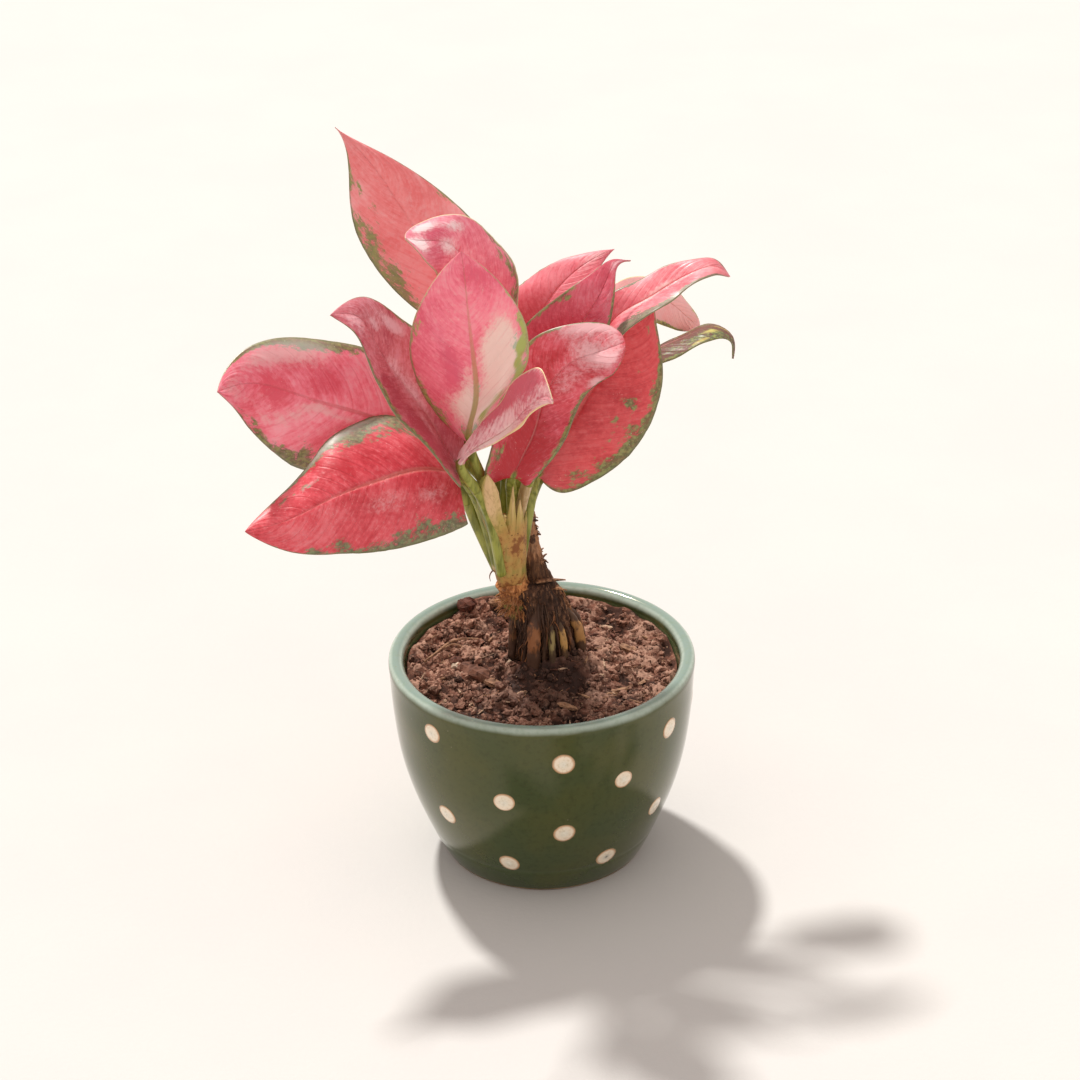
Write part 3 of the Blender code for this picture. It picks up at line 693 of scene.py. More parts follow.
@dataclass
class BarkFinish(Finish):
    """Rough fibrous plant tissue with lengthwise fibres: crown, old cane and node rings."""

    name: str = "old_bark"
    dark: Colour = (0.034, 0.016, 0.010)
    brown: Colour = (0.12, 0.052, 0.027)
    light: Colour = (0.34, 0.18, 0.10)
    oranges: tuple[Colour, Colour] = ((0.24, 0.085, 0.025), (0.62, 0.27, 0.095))
    olives: tuple[Colour, Colour] = ((0.13, 0.10, 0.025), (0.33, 0.26, 0.07))

    def paint(self) -> Material:
        """Dark to light by fibres and lumps, with the orange and olive attributes' tissue."""
        fibres = self.noise(760, 4, 0.65, self.drawn(1.0, 1.0, 0.16))
        lumps = self.noise(240, 3, 0.6)
        tone = self.value("tone")
        body = fibres * 0.6 + lumps * 0.4 + tone * 0.2 - 0.1
        self.start(body.step(0.36, 0.6), self.dark, self.brown)
        self.lay((fibres + tone * 0.3).step(0.56, 0.84), self.light)
        orange = self.mix(fibres.step(0.4, 0.66), *self.oranges)
        olive = self.mix(lumps.step(0.4, 0.65), *self.olives)
        self.lay(self.value("orange") * lumps.step(0.22, 0.5), orange)
        self.lay(self.value("olive") * lumps.step(0.25, 0.5), olive)
        return self.shade(fibres * 0.7 + lumps * 0.5, 0.9, 0.86, 0.3)


@dataclass
class RootFinish(Finish):
    """Prop roots and loose fibres. The tone attribute runs brown, orange, yellow, green."""

    name: str = "prop_roots"
    brown: Colour = (0.11, 0.05, 0.022)
    orange: Colour = (0.30, 0.115, 0.042)
    yellow: Colour = (0.48, 0.27, 0.085)
    green: Colour = (0.26, 0.21, 0.085)
    dirt_and_shade: Colour = (0.05, 0.022, 0.012)

    def paint(self) -> Material:
        """The root's own colour by tone, under scurfy dirt where it isn't fresh, and under painted
        shade low down near the soil.
        """
        scurf = self.noise(640, 4, 0.6, self.drawn(1.0, 1.0, 0.3))
        tone = self.value("tone")
        self.start(tone.step(0.0, 0.33), self.brown, self.orange)
        self.lay(tone.step(0.33, 0.66), self.yellow)
        self.lay(tone.step(0.66, 1.0), self.green)
        # Scurfy dirt, and painted shade where the roots go down into the soil.
        dirt_and_shade = (scurf * 0.8 + (1 - self.value("fresh")) * 0.42).step(0.46, 0.66)
        self.lay(dirt_and_shade * 0.92, self.dirt_and_shade)
        return self.shade(scurf, 0.4, 0.62, 0.4)


@dataclass
class SheathFinish(Finish):
    """Papery leaf sheaths: green where alive, tan and stained rusty where they dry."""

    name: str = "sheaths"
    green: Colour = (0.26, 0.24, 0.05)
    yellow: Colour = (0.56, 0.42, 0.13)
    beige: Colour = (0.82, 0.56, 0.30)
    fibrous: Colour = (0.62, 0.58, 0.46)
    orange: Colour = (0.56, 0.27, 0.085)
    rust: Colour = (0.24, 0.07, 0.02)
    freckle: Colour = (0.09, 0.03, 0.012)
    glow: Colour = (0.6, 0.5, 0.2)

    def paint(self) -> Material:
        """Green to beige as it dries, then fibres, stains, rust spots and freckles."""
        fibres = self.noise(950, 4, 0.6, self.drawn(1.0, 1.0, 0.09))
        clouds = self.noise(170, 4, 0.6)
        grit = self.noise(640, 4, 0.65)
        dry = self.value("dry") + (clouds - 0.5) * 0.5
        self.start(dry.step(0.15, 0.55), self.green, self.yellow)
        self.lay(dry.step(0.55, 1.0), self.beige)
        self.tint(fibres.step(0.52, 0.36) * 0.6, self.fibrous)
        stain = self.value("stain") + (clouds - 0.5) * 0.9 + (fibres - 0.5) * 0.6
        self.lay(stain.step(0.1, 0.75) * 0.75, self.orange)
        spotty = stain + (grit - 0.5) * 2.4
        self.lay(spotty.step(0.68, 1.15) * 0.85, self.rust)
        specks = self.specks(380, 0.06, 0.2) * clouds.step(0.42, 0.55) * (stain + 0.3)
        self.lay(specks.step(0.1, 0.7) * 0.85, self.freckle)
        return self.shade(fibres, 0.22, 0.5, 0.4, (0.15, self.glow))


@dataclass
class StalkFinish(Finish):
    """Living leaf stalks: juicy green, paler ribs, small rusty freckles, husks low down."""

    name: str = "stalks"
    stalk_greens: tuple[Colour, Colour] = ((0.15, 0.165, 0.022), (0.34, 0.35, 0.07))
    freckle: Colour = (0.2, 0.09, 0.03)
    husks: tuple[Colour, Colour] = ((0.42, 0.28, 0.12), (0.60, 0.46, 0.26))
    husk_stain: Colour = (0.26, 0.1, 0.03)

    def living(self) -> Signal:
        """The living stalk's colour: pale ribs on green, and freckles in clouds."""
        ribs = self.noise(720, 3, 0.55, self.drawn(1.0, 1.0, 0.08))
        clouds = self.noise(95, 3, 0.55)
        green = self.mix((ribs * 0.6 + clouds * 0.5).step(0.42, 0.68), *self.stalk_greens)
        freckle = self.specks(520, 0.05, 0.2) * clouds.step(0.55, 0.7)
        return self.mix(freckle * 0.6, green, self.freckle)

    def paint(self) -> Material:
        """The living colour, and a stained husk where the stalk's sheath has dried."""
        self.colour = self.living()
        fine = self.noise(900, 3, at=self.drawn(1.0, 1.0, 0.1))
        clouds = self.noise(170, 4, 0.6)
        dry = self.value("dry") + (clouds - 0.5) * 0.5
        husk = self.mix(fine.step(0.42, 0.68), *self.husks)
        stain = (clouds * 1.6 - 0.3).step(0.5, 0.85) * 0.6
        self.lay(dry.step(0.3, 0.7), self.mix(stain, husk, self.husk_stain))
        return self.shade(fine, 0.08, 0.4, 0.45)


@dataclass(frozen=True, kw_only=True)
class Tone:
    """How one blade is coloured.

    red, deep and light are its main colour and its darker and lighter streaks, pale its
    whitish waxy coat and painted sheen, green and lime its flecks, edge its narrow rim, cream
    its pale spots and rib its midrib. margin is how far the flecks reach in from the left and
    right margin. greens, pales, deeps and creams place soft ovals of flecks, waxy coat with
    painted sheen and highlights, deeper red and cream, in hundredths: middle along the blade
    and across it from -100 at the left margin to 100 at the right one, reach both ways, and
    strength. Two of the front upright leaf's deeper ovals are painted shadows of leaves behind.
    """

    red: Colour
    deep: Colour
    light: Colour = (0.92, 0.28, 0.29)
    pale: Colour = (0.88, 0.52, 0.54)
    green: Colour = (0.10, 0.13, 0.04)
    lime: Colour = (0.27, 0.30, 0.09)
    edge: Colour = (0.17, 0.17, 0.08)
    cream: Colour = (0.80, 0.66, 0.40)
    rib: Colour = (0.74, 0.34, 0.32)
    rib_strength: float = 0.5
    margin: tuple[float, float] = (0.08, 0.08)
    greens: Ovals = ()
    pales: Ovals = ()
    deeps: Ovals = ()
    creams: Ovals = ()
    gloss: float = 0.38
    veins: float = 0.18


@dataclass(kw_only=True)
class BladeFinish(StalkFinish):
    """A painted leaf: red streaked along the side veins, flecked green towards the margin."""

    tone: Tone
    under_share: float
    under: Colour = (0.74, 0.34, 0.31)
    under_fleck: Colour = (0.30, 0.34, 0.19)
    under_vein: Colour = (0.66, 0.42, 0.36)
    coat_and_sheen_fleck: Colour = (0.40, 0.45, 0.38)
    dust: Colour = (0.96, 0.84, 0.80)
    glow: Colour = (0.98, 0.27, 0.25)
    glow_share: float = 0.27
    vein_count: float = 15.0
    sweep: float = 0.24

    def paint(self) -> Material:
        """Streaks, waxy coat and painted sheen, veins, flecks, dust, margin, midrib, lower face and
        stalk in turn.

        The side veins are lines of one value of s, the place along less the sweep times the
        place across to the power 1.25. Streaks are noise drawn out along those lines.
        """
        tone = self.tone
        along, across, side = (self.value(n) for n in ("along", "across", "side"))
        deep, pale, dense, under = (self.value(n) for n in ("deep", "pale", "green", "under"))
        out = abs(across)
        s = along - (out**1.25) * self.sweep
        streaks = self.noise(1.0, 5, 0.62, self.vector(s * 62, out * 3.6 + side * 9, 0.5))
        threads = self.noise(1.0, 2, 0.6, self.vector(s * 190, out * 9 + side * 7, 2.5))
        clouds = self.noise(62, 3, 0.55)
        mottle = self.noise(620, 4, 0.62)

        body = clouds * 0.55 + streaks * 0.45 + mottle * 0.3 - deep * 0.15
        self.start(body.step(0.46, 0.7), tone.deep, tone.red)
        self.lay(body.step(0.62, 0.82) * 0.75, tone.light)
        light = (threads * 0.55 + mottle * 0.45).step(0.5, 0.7)
        self.lay(light * 0.28, tone.pale)
        self.lay(deep.step(0.3, 1.5) * 0.55, tone.deep)

        # Painted sheen and highlights, with the leaf's whitish waxy coat, where the pale ovals lie,
        # broken up by scratches and mottle.
        scratch = self.noise(1.0, 4, 0.7, self.vector(s * 90, out * 22 + side * 5, 7.0))
        uneven = (scratch - 0.5) * 0.9 + (mottle - 0.5) * 0.9
        bloom_and_sheen = pale * 0.85 + uneven * (pale * 2).step(0.05, 1.0)
        self.lay(bloom_and_sheen.step(0.15, 0.9) * 0.85, tone.pale)

        rows = self.math(Operation.FRACT, s * self.vein_count + 0.3 * side + clouds * 0.5)
        rows = 1 - abs(rows - 0.5) * 2
        vein = rows.step(0.8, 0.99) * (1 - out.step(0.6, 0.95)) * along.step(0.0, 0.08)
        self.lay(vein * clouds.step(0.4, 0.6) * tone.veins, tone.deep)

        broad = self.noise(1.0, 2, 0.6, self.vector(along * 11, across * 4.2, side * 3))
        spots = self.noise(1.0, 4, 0.68, self.vector(s * 34, across * 11, side * 5))
        flecks = (broad - 0.5) * 0.8 + (spots - 0.5) * 0.95 + (mottle - 0.5) * 0.55
        fleck = (flecks + dense * 0.42 - 0.3).step(-0.06, 0.17) * dense.step(0.05, 0.2)
        shades = self.mix((mottle * 0.6 + spots * 0.4).step(0.44, 0.6), tone.green, tone.lime)
        # Painted sheen turns the flecks grey-green where the pale ovals lie.
        shades = self.mix(pale.step(0.1, 0.8) * 0.85, shades, self.coat_and_sheen_fleck)
        self.lay(fleck * (0.6 + spots * 0.6), shades)

        dust = self.specks(760, 0.05, 0.16) * self.noise(130, 2, 0.6).step(0.46, 0.64)
        self.lay(dust * 0.6, self.dust)

        cream = self.value("cream") + (streaks - 0.5) * 0.7
        self.lay(cream.step(0.3, 0.75), tone.cream)
        rim = (out + (spots - 0.5) * 0.04).step(0.955, 0.985)
        self.lay(rim * (broad * 1.2 + 0.2), tone.edge)

        line = 1 - (out / along.step(0.0, 0.9, 0.06, 0.016)).step(0.35, 1.0)
        fading = 1 - along.step(0.2, 0.75) * 0.65
        self.lay(line * fading * tone.rib_strength, tone.rib)

        beneath = self.mix(body.step(0.5, 0.75), tone.deep, self.under)
        beneath = self.mix(fleck * 0.7, beneath, self.under_fleck)
        beneath = self.mix(vein * 0.35, beneath, self.under_vein)
        self.lay(under * self.under_share, beneath)
        stalk = (self.value("stalk") + (clouds - 0.5) * 0.3).step(0.25, 0.75)
        self.lay(stalk, self.living())

        relief = vein * -0.5 + streaks * 0.35 + mottle * 0.3 - line * 0.6 + pale.step(0, 1) * 1.4
        rough = tone.gloss + (1 - light) * 0.06 + under * 0.2
        coat = {"Coat_Weight": (1 - under) * 0.12, "Coat_Roughness": 0.25}
        clear = (1 - fleck * 0.85) * (1 - stalk) * (1 - rim * 0.8)
        clear = clear * (1 - pale.step(0.3, 1.3) * 0.5)
        glow = clear * self.glow_share, self.glow
        return self.shade(relief, 0.16, rough, 0.42, glow, **coat)


@dataclass
class FloorFinish(Finish):
    """A pale floor, faintly mottled."""

    name: str = "pale_floor"
    pale: Colour = (0.53, 0.52, 0.515)
    paler: Colour = (0.545, 0.535, 0.525)

    def paint(self) -> Material:
        """Two pale tones in clouds, with a fine grain."""
        self.start(self.noise(9, 5, 0.6).step(0.3, 0.7), self.pale, self.paler)
        return self.shade(self.noise(420, 3), 0.1, 0.9)


# Pieces.


@dataclass
class Pot:
    """The glazed pot: one profile turned about the z axis, and the slip dots on its wall."""

    rim_radius: float = 62.5
    height: float = 88.5
    sides: int = 200
    # The outside's height and radius as shares, the rim's and inside's radius and height.
    outside: Sequence = (
        (0.97, 0.998), (0.94, 0.995), (0.84, 0.986), (0.68, 0.966), (0.5, 0.926),
        (0.32, 0.854), (0.18, 0.779), (0.08, 0.718), (0.03, 0.682), (0.006, 0.662),
    )
    rim: Sequence = ((55.9, 85.0), (56.6, 87.0), (58.6, 88.4), (60.3, 88.45), (61.9, 87.6))
    inside: Sequence = (
        (33, 8), (36.5, 9.5), (41, 16), (47, 30), (51.8, 48), (54.4, 68), (55.4, 81),
    )
    foot: Sequence = ((40.6, 0.05), (40.0, 0.0), (20, 0.0), (0.01, 0.0))
    floor_height: float = 7.6
    glazed_inside: float = 84.5
    groove_height: float = 12.3
    groove_depth: float = 0.3
    waver: float = 0.12
    # The dots: the turn about the z axis in degrees, 0 towards the viewer, and the height.
    dots: Sequence = (
        (-45.1, 76.6), (7.5, 72.1), (31.7, 58.9), (55.3, 72.4), (-15.3, 52.5), (-43.9, 36.6),
        (54.7, 33.7), (8.3, 36.5), (-16.7, 17.4), (30.6, 16.6), (88, 68), (84, 38), (108, 54),
        (112, 22), (130, 74), (134, 41), (152, 58), (158, 27), (176, 72), (181, 44), (200, 61),
        (205, 29), (222, 75), (228, 46), (246, 63), (250, 32), (262, 74), (268, 46),
    )
    pinhole: int = 9
    dot_radius: float = 4.5
    dot_rise: float = 0.28
    # Rings of a dot, as shares of its radius. Those beyond 1 sink into the wall.
    dot_rings: Sequence[float] = (0.0, 0.2, 0.4, 0.6, 0.75, 0.88, 1.0, 1.06)

    def profile(self) -> Array:
        """The (radius, height) points from the floor's middle over the rim to the base."""
        outer = [(wide * self.rim_radius, high * self.height) for high, wide in self.outside]
        wall, _ = spline([*self.inside, *self.rim, *outer])
        floor = np.column_stack([np.linspace(0.01, 32, 8), np.full(8, self.floor_height)])
        return np.vstack([floor, wall(np.linspace(0, 1, 170)), self.foot])

    def wall_radius(self, height: Array) -> Array:
        """The outside's radius at heights in millimetres, read off the profile from below."""
        profile = self.profile()
        return np.interp(height, *profile[np.argmax(profile[:, 1]) :][::-1, ::-1].T)

    def build(self) -> Iterator[Object]:
        """Builds the pot from its turned profile, x is radius sin turn and y is minus radius
        cos turn, with the waver of hand-thrown clay and a shallow groove, and its dots."""
        profile = self.profile()
        turn = around(self.sides)
        radius, height = profile[:, :1], profile[:, 1:]
        groove = bell((height, self.groove_height, 0.55))
        is_outer = (np.arange(len(profile)) > np.argmax(profile[:, 1]))[:, None]
        groove = groove * is_outer * (radius > 35)
        places = joined(np.cos(turn) * 2.2, np.sin(turn) * 2.2, height / 16)
        thrown = self.waver * value_noise(places, 5) * np.clip(radius / 30, 0, 1)
        radius = radius + (thrown - self.groove_depth * groove)
        rings = joined(radius * np.sin(turn), -radius * np.cos(turn), height)
        inner = (~is_outer) & (height < self.glazed_inside)
        sheet = Sheet()
        sheet.add_tube(rings, groove=groove[:, 0], inner=inner[:, 0].astype(float))
        yield sheet.build("pot_glazed", GlazeFinish().paint(), Slot.GLAZE, "pot")
        yield self.dotted()

    def dotted(self) -> Object:
        """Low domes that follow the wall: rings about each dot's middle, raised by the rise
        times (1 minus the squared distance out), with their rims sunk in it."""
        sheet = Sheet()
        draw = np.random.default_rng(3).uniform
        outs = np.array(self.dot_rings)
        far = outs[:, None]
        angle = around(28)
        for number, (degrees, height) in enumerate(self.dots):
            size = self.dot_radius * draw(0.94, 1.06)
            wobble = 1 + 0.03 * np.sin(2 * angle + draw(0, 6))
            aside = size * far * np.cos(angle) * wobble
            z = height + size * far * np.sin(angle) * wobble
            turn = math.radians(degrees) + aside / self.wall_radius(np.array(height))
            raised = self.dot_rise * (1 - far**2) + 0.02
            radius = self.wall_radius(z) + raised - 0.5 * (far > 1.03)
            rings = joined(radius * np.sin(turn), -radius * np.cos(turn), z)
            hole = bell((outs, 0, 0.16)) * (number == self.pinhole)
            sheet.add_tube(rings[::-1], out=outs[::-1], hole=hole[::-1])
        return sheet.build("pot_dots", DotFinish().paint(), Slot.GLAZE)


@dataclass
class Soil:
    """The potting mix: a rough surface from wall to crown, crumbs, bark chips and a twig."""

    height: float = 80.0
    floor: float = 72.0
    edge_radius: float = 55.0
    crown: tuple[float, float] = (2.0, 3.0)
    hole_radius: float = 13.0
    sides: int = 300
    rings: int = 110
    crumb_count: int = 1900
    splinter_count: int = 260
    # Lumps: x, y, half sizes, turn about z, tone from bark to stone.
    chips: Sequence = (
        (-27.5, -5.5, (9.0, 4.4, 3.2), -0.85, 0.12), (-31, 42, (4.2, 3.4, 3.0), 0.9, 0.0),
        (-34, 6, (4.0, 2.4, 1.8), -0.3, 0.05), (-19, 46, (3.0, 1.6, 1.6), 0.1, 0.6),
        (-20, -14, (5.4, 2.2, 1.5), 2.5, 0.3), (30, -20, (5.0, 1.7, 1.1), 0.4, 0.5),
        (36, 12, (4.6, 2.2, 1.4), 2.7, 0.35), (-40, -6, (3.6, 2.2, 1.6), 1.2, 0.1),
        (10, -34, (4.2, 1.6, 1.2), 2.9, 0.4), (16, 36, (4.4, 3.0, 2.0), 0.9, 0.1),
        (-34.6, 1.8, (2.5, 1.7, 1.8), 0.5, 0.95), (-13.2, -5, (1.4, 1.2, 1.3), 0.9, 0.85),
        (27, 30, (3.4, 1.1, 0.7), 2.5, 0.75), (33, -3, (2.2, 1.2, 0.7), 0.4, 0.7),
        (41, -12, (2.6, 1.0, 0.6), 0.6, 0.65), (-8, -22, (2.4, 0.7, 0.5), 0.5, 0.7),
        (24, -12, (1.4, 1.1, 0.8), 0.2, 0.75), (-36, 16, (3.5, 2.0, 1.2), 0.3, 0.25),
    )
    # The forked twig's two arms: points, radii, points in a ring, rings, tone.
    twigs: Sequence = (
        (((-48, 2.5, 83), (-42, 9, 84.4), (-35, 17.5, 84.6), (-26, 18, 84.6)),
         (0.45, 0.55, 0.35), 7, 18, 0.62),
        (((-40, 11.5, 84), (-36, 13, 85.2), (-32, 11, 84.6)), (0.35, 0.2), 6, 8, 0.55),
    )
    splinter_tones: Sequence[float] = (0.0, 0.1, 0.2, 0.35, 0.6, 0.75)

    def level(self, x: Array, y: Array) -> Array:
        """The soil's height without its crumbs: a slope, a bell at each heap and long waves.

        Args:
            x, y: Places to the right and to the back.

        Returns:
            The height.
        """
        slope = 0.6 + 0.9 * np.abs(y) / 50 + 0.7 * y / 50
        away = np.hypot(x - self.crown[0], y - self.crown[1])
        mound = 1.2 * bell((away, 17, 9))
        pile = 2.6 * bell((x, -24, 13), (y, 48, 10))
        heap = 10.5 * bell((x, 4, 16), (y, -6, 11))
        bank = 2.0 * smooth(np.hypot(x, y), 42, 54) * smooth(y, -25, 25)
        waves = np.sin(0.21 * x + 0.4) * np.cos(0.17 * y - 0.8) + 0.6 * np.sin(0.37 * x - 0.29 * y)
        return self.height + slope + mound + pile + heap + bank + 0.9 * waves

    def lumps(self, x: Array, y: Array) -> Array:
        """Crumbs as a height: noise of 6 mm and less, and finer noise folded to sharp tops.

        Args:
            x, y: Places to the right and to the back.

        Returns:
            Their height above the level.
        """
        flat = joined(x, y)
        large = rough_noise(flat / 6.5, 4, 21, 0.6)
        small = 1 - np.abs(rough_noise(flat / 2.4, 3, 31, 0.65))
        return 3.3 * large + 1.7 * (small - 0.7) + 1.2 * rough_noise(flat / 14, 2, 41)

    def damp(self, x: Array, y: Array) -> Array:
        """How moist the soil is, and how deep the plant's painted shadow lies on it, from 0 to 1:
        two bells before the crown.
        """
        far = 0.8 * bell((x, 0, 34), (y, -27, 17))
        return np.clip(bell((x, 5, 15), (y, -11, 11)) + far, 0, 1)

    def build(self) -> Iterator[Object]:
        """Builds the surface as rings from the wall in to the crown, closed underneath, its
        crumbs and its chips."""
        share = np.linspace(0, 1, self.rings)[:, None]
        turn = around(self.sides)
        middle = share[..., None] * np.array(self.crown)
        radius = self.edge_radius + (self.hole_radius - self.edge_radius) * share
        x = middle[..., 0] + radius * np.cos(turn)
        y = middle[..., 1] + radius * np.sin(turn)
        lumps = self.lumps(x, y) * smooth(share, -0.02, 0.05)
        top = joined(x, y, self.level(x, y) + lumps)
        below = top[::12] * (1, 1, 0) + (0, 0, self.floor)
        rings = np.concatenate([below[:1], top, below[::-1][:-1]])
        # The high value paints light on the lumps' tops and shade in the hollows between them; the
        # other value holds moist soil and the plant's painted shadow.
        high, damp = smooth(lumps, -1.6, 1.6), self.damp(x, y)
        pad = np.zeros((len(below) - 1, self.sides))
        high, damp = (np.concatenate([v[:1], v, pad]).ravel() for v in (high, damp))
        sheet = Sheet()
        k = np.arange(self.sides)
        last, after = (len(rings) - 1) * self.sides, (k + 1) % self.sides
        join = np.column_stack([last + k, last + after, after, k])
        faces = [tube_faces(len(rings), self.sides), join]
        sheet.add(rings, faces, high=high, damp=damp, tint=0.3)
        brown = SoilFinish().paint()
        yield sheet.build("soil_mix", brown, Slot.SOIL, "soil")
        yield self.crumbs().build("soil_crumbs", brown, Slot.SOIL, "soil", is_smooth=False)
        wood = ChipFinish().paint()
        yield self.loose_chips().build("soil_chips", wood, Slot.SOIL, is_smooth=False)

    @staticmethod
    def turned(rings: Array, half: Sequence[float], turn: float, tip: float) -> Array:
        """Scales rings, tips them about the y axis and turns them about z.

        Args:
            rings: Points about the origin.
            half: The half sizes.
            turn, tip: The two angles in radians.

        Returns:
            The points.
        """
        c, s = math.cos(turn), math.sin(turn)
        ct, st = math.cos(tip), math.sin(tip)
        lean = np.array([[ct, 0, -st], [0, 1, 0], [st, 0, ct]])
        return rings * np.array(half) @ lean @ np.array([[c, s, 0], [-s, c, 0], [0, 0, 1]])

    def crumbs(self) -> Sheet:
        """Loose crumbs of 0.4 to 2.7 mm, half sunk: balls of 5 rings of 7 points, each point
        moved in or out at random."""
        sheet = Sheet()
        draw = np.random.default_rng(9).uniform
        tilt = np.linspace(0.35, math.pi - 0.35, 5)[:, None]
        for _ in range(self.crumb_count):
            away = self.edge_radius * 0.97 * math.sqrt(draw(0.055, 1.0))
            angle = draw(0, 2 * math.pi)
            x, y = away * math.cos(angle), away * math.sin(angle)
            size = 0.35 + (2.3 if x < 5 else 1.6) * draw() ** 3.0
            if away + size > self.edge_radius:
                continue
            half = (size, size * draw(0.6, 1.0), size * draw(0.5, 0.9))
            turn = around(7)[None] + draw(0, 6)
            swell = 1 + draw(-0.36, 0.36, (5, 7))
            ball = joined(np.sin(tilt) * np.cos(turn), np.sin(tilt) * np.sin(turn), np.cos(tilt))
            ball = ball * swell[..., None]
            rings = self.turned(ball, half, draw(0, 6), draw(-0.7, 0.7))
            spot = np.array([x]), np.array([y])
            z = float(self.level(*spot)[0] + self.lumps(*spot)[0]) + 0.2 * size
            # Painted light and shade: each crumb is lighter on top and darker underneath.
            high = 0.35 + 0.4 * (rings[..., 2] / size * 0.5 + 0.5) + 0.3 * (swell - 1)
            damp = float(self.damp(*spot)[0])
            sheet.add_tube(rings + (x, y, z), high=high, damp=damp, tint=draw(0, 1))
        return sheet

    def loose_chips(self) -> Sheet:
        """Bark chips, a clod and small stones as rough lumps, splinters, and a forked twig."""
        random = np.random.default_rng(19)
        draw = random.uniform
        sheet = Sheet()
        for x, y, half, turn, tone in self.chips:
            at = np.linspace(-1, 1, 11)[:, None] + draw(-0.06, 0.06, (11, 9))
            wide = 1 - 0.35 * np.abs(at) ** 2 - 0.5 * smooth(np.abs(at), 0.7, 1.05)
            swell = 1 + draw(-0.24, 0.24, (11, 9)) + draw(-0.2, 0.2, (1, 9))
            angle = around(9)[None]
            ring = joined(at, wide * swell * np.cos(angle), wide * swell * np.sin(angle))
            rings = self.turned(ring, half, turn, draw(-0.25, 0.25))
            z = float(self.level(np.array([x]), np.array([y]))[0]) + 0.55 * half[2]
            sheet.add_tube(rings + (x, y, z), tone=tone)
        for _ in range(self.splinter_count):
            away = self.edge_radius * 0.95 * math.sqrt(draw(0.07, 1.0))
            angle = draw(0, 2 * math.pi)
            x, y = away * math.cos(angle), away * math.sin(angle)
            turn, long = draw(0, math.pi), draw(0.8, 3.2)
            z = float(self.level(x, y) + self.lumps(np.array(x), np.array(y))) + 0.25
            step = np.array([math.cos(turn), math.sin(turn), draw(-0.25, 0.25)]) * long
            middle = np.array([x, y, z])
            if max(math.hypot(*end[:2]) for end in (middle + step, middle - step)) > 54:
                continue
            bend = draw(-0.3, 0.3, 3)
            radius = draw(0.15, 0.55)
            path = [middle - step, middle + bend, middle + step]
            tone = random.choice(self.splinter_tones)
            sheet.add_wire(path, (radius, radius, 0.15), 5, 6, tone=tone)
        for points, radii, sides, steps, tone in self.twigs:
            sheet.add_wire(points, radii, sides, steps, tone=tone)
        return sheet


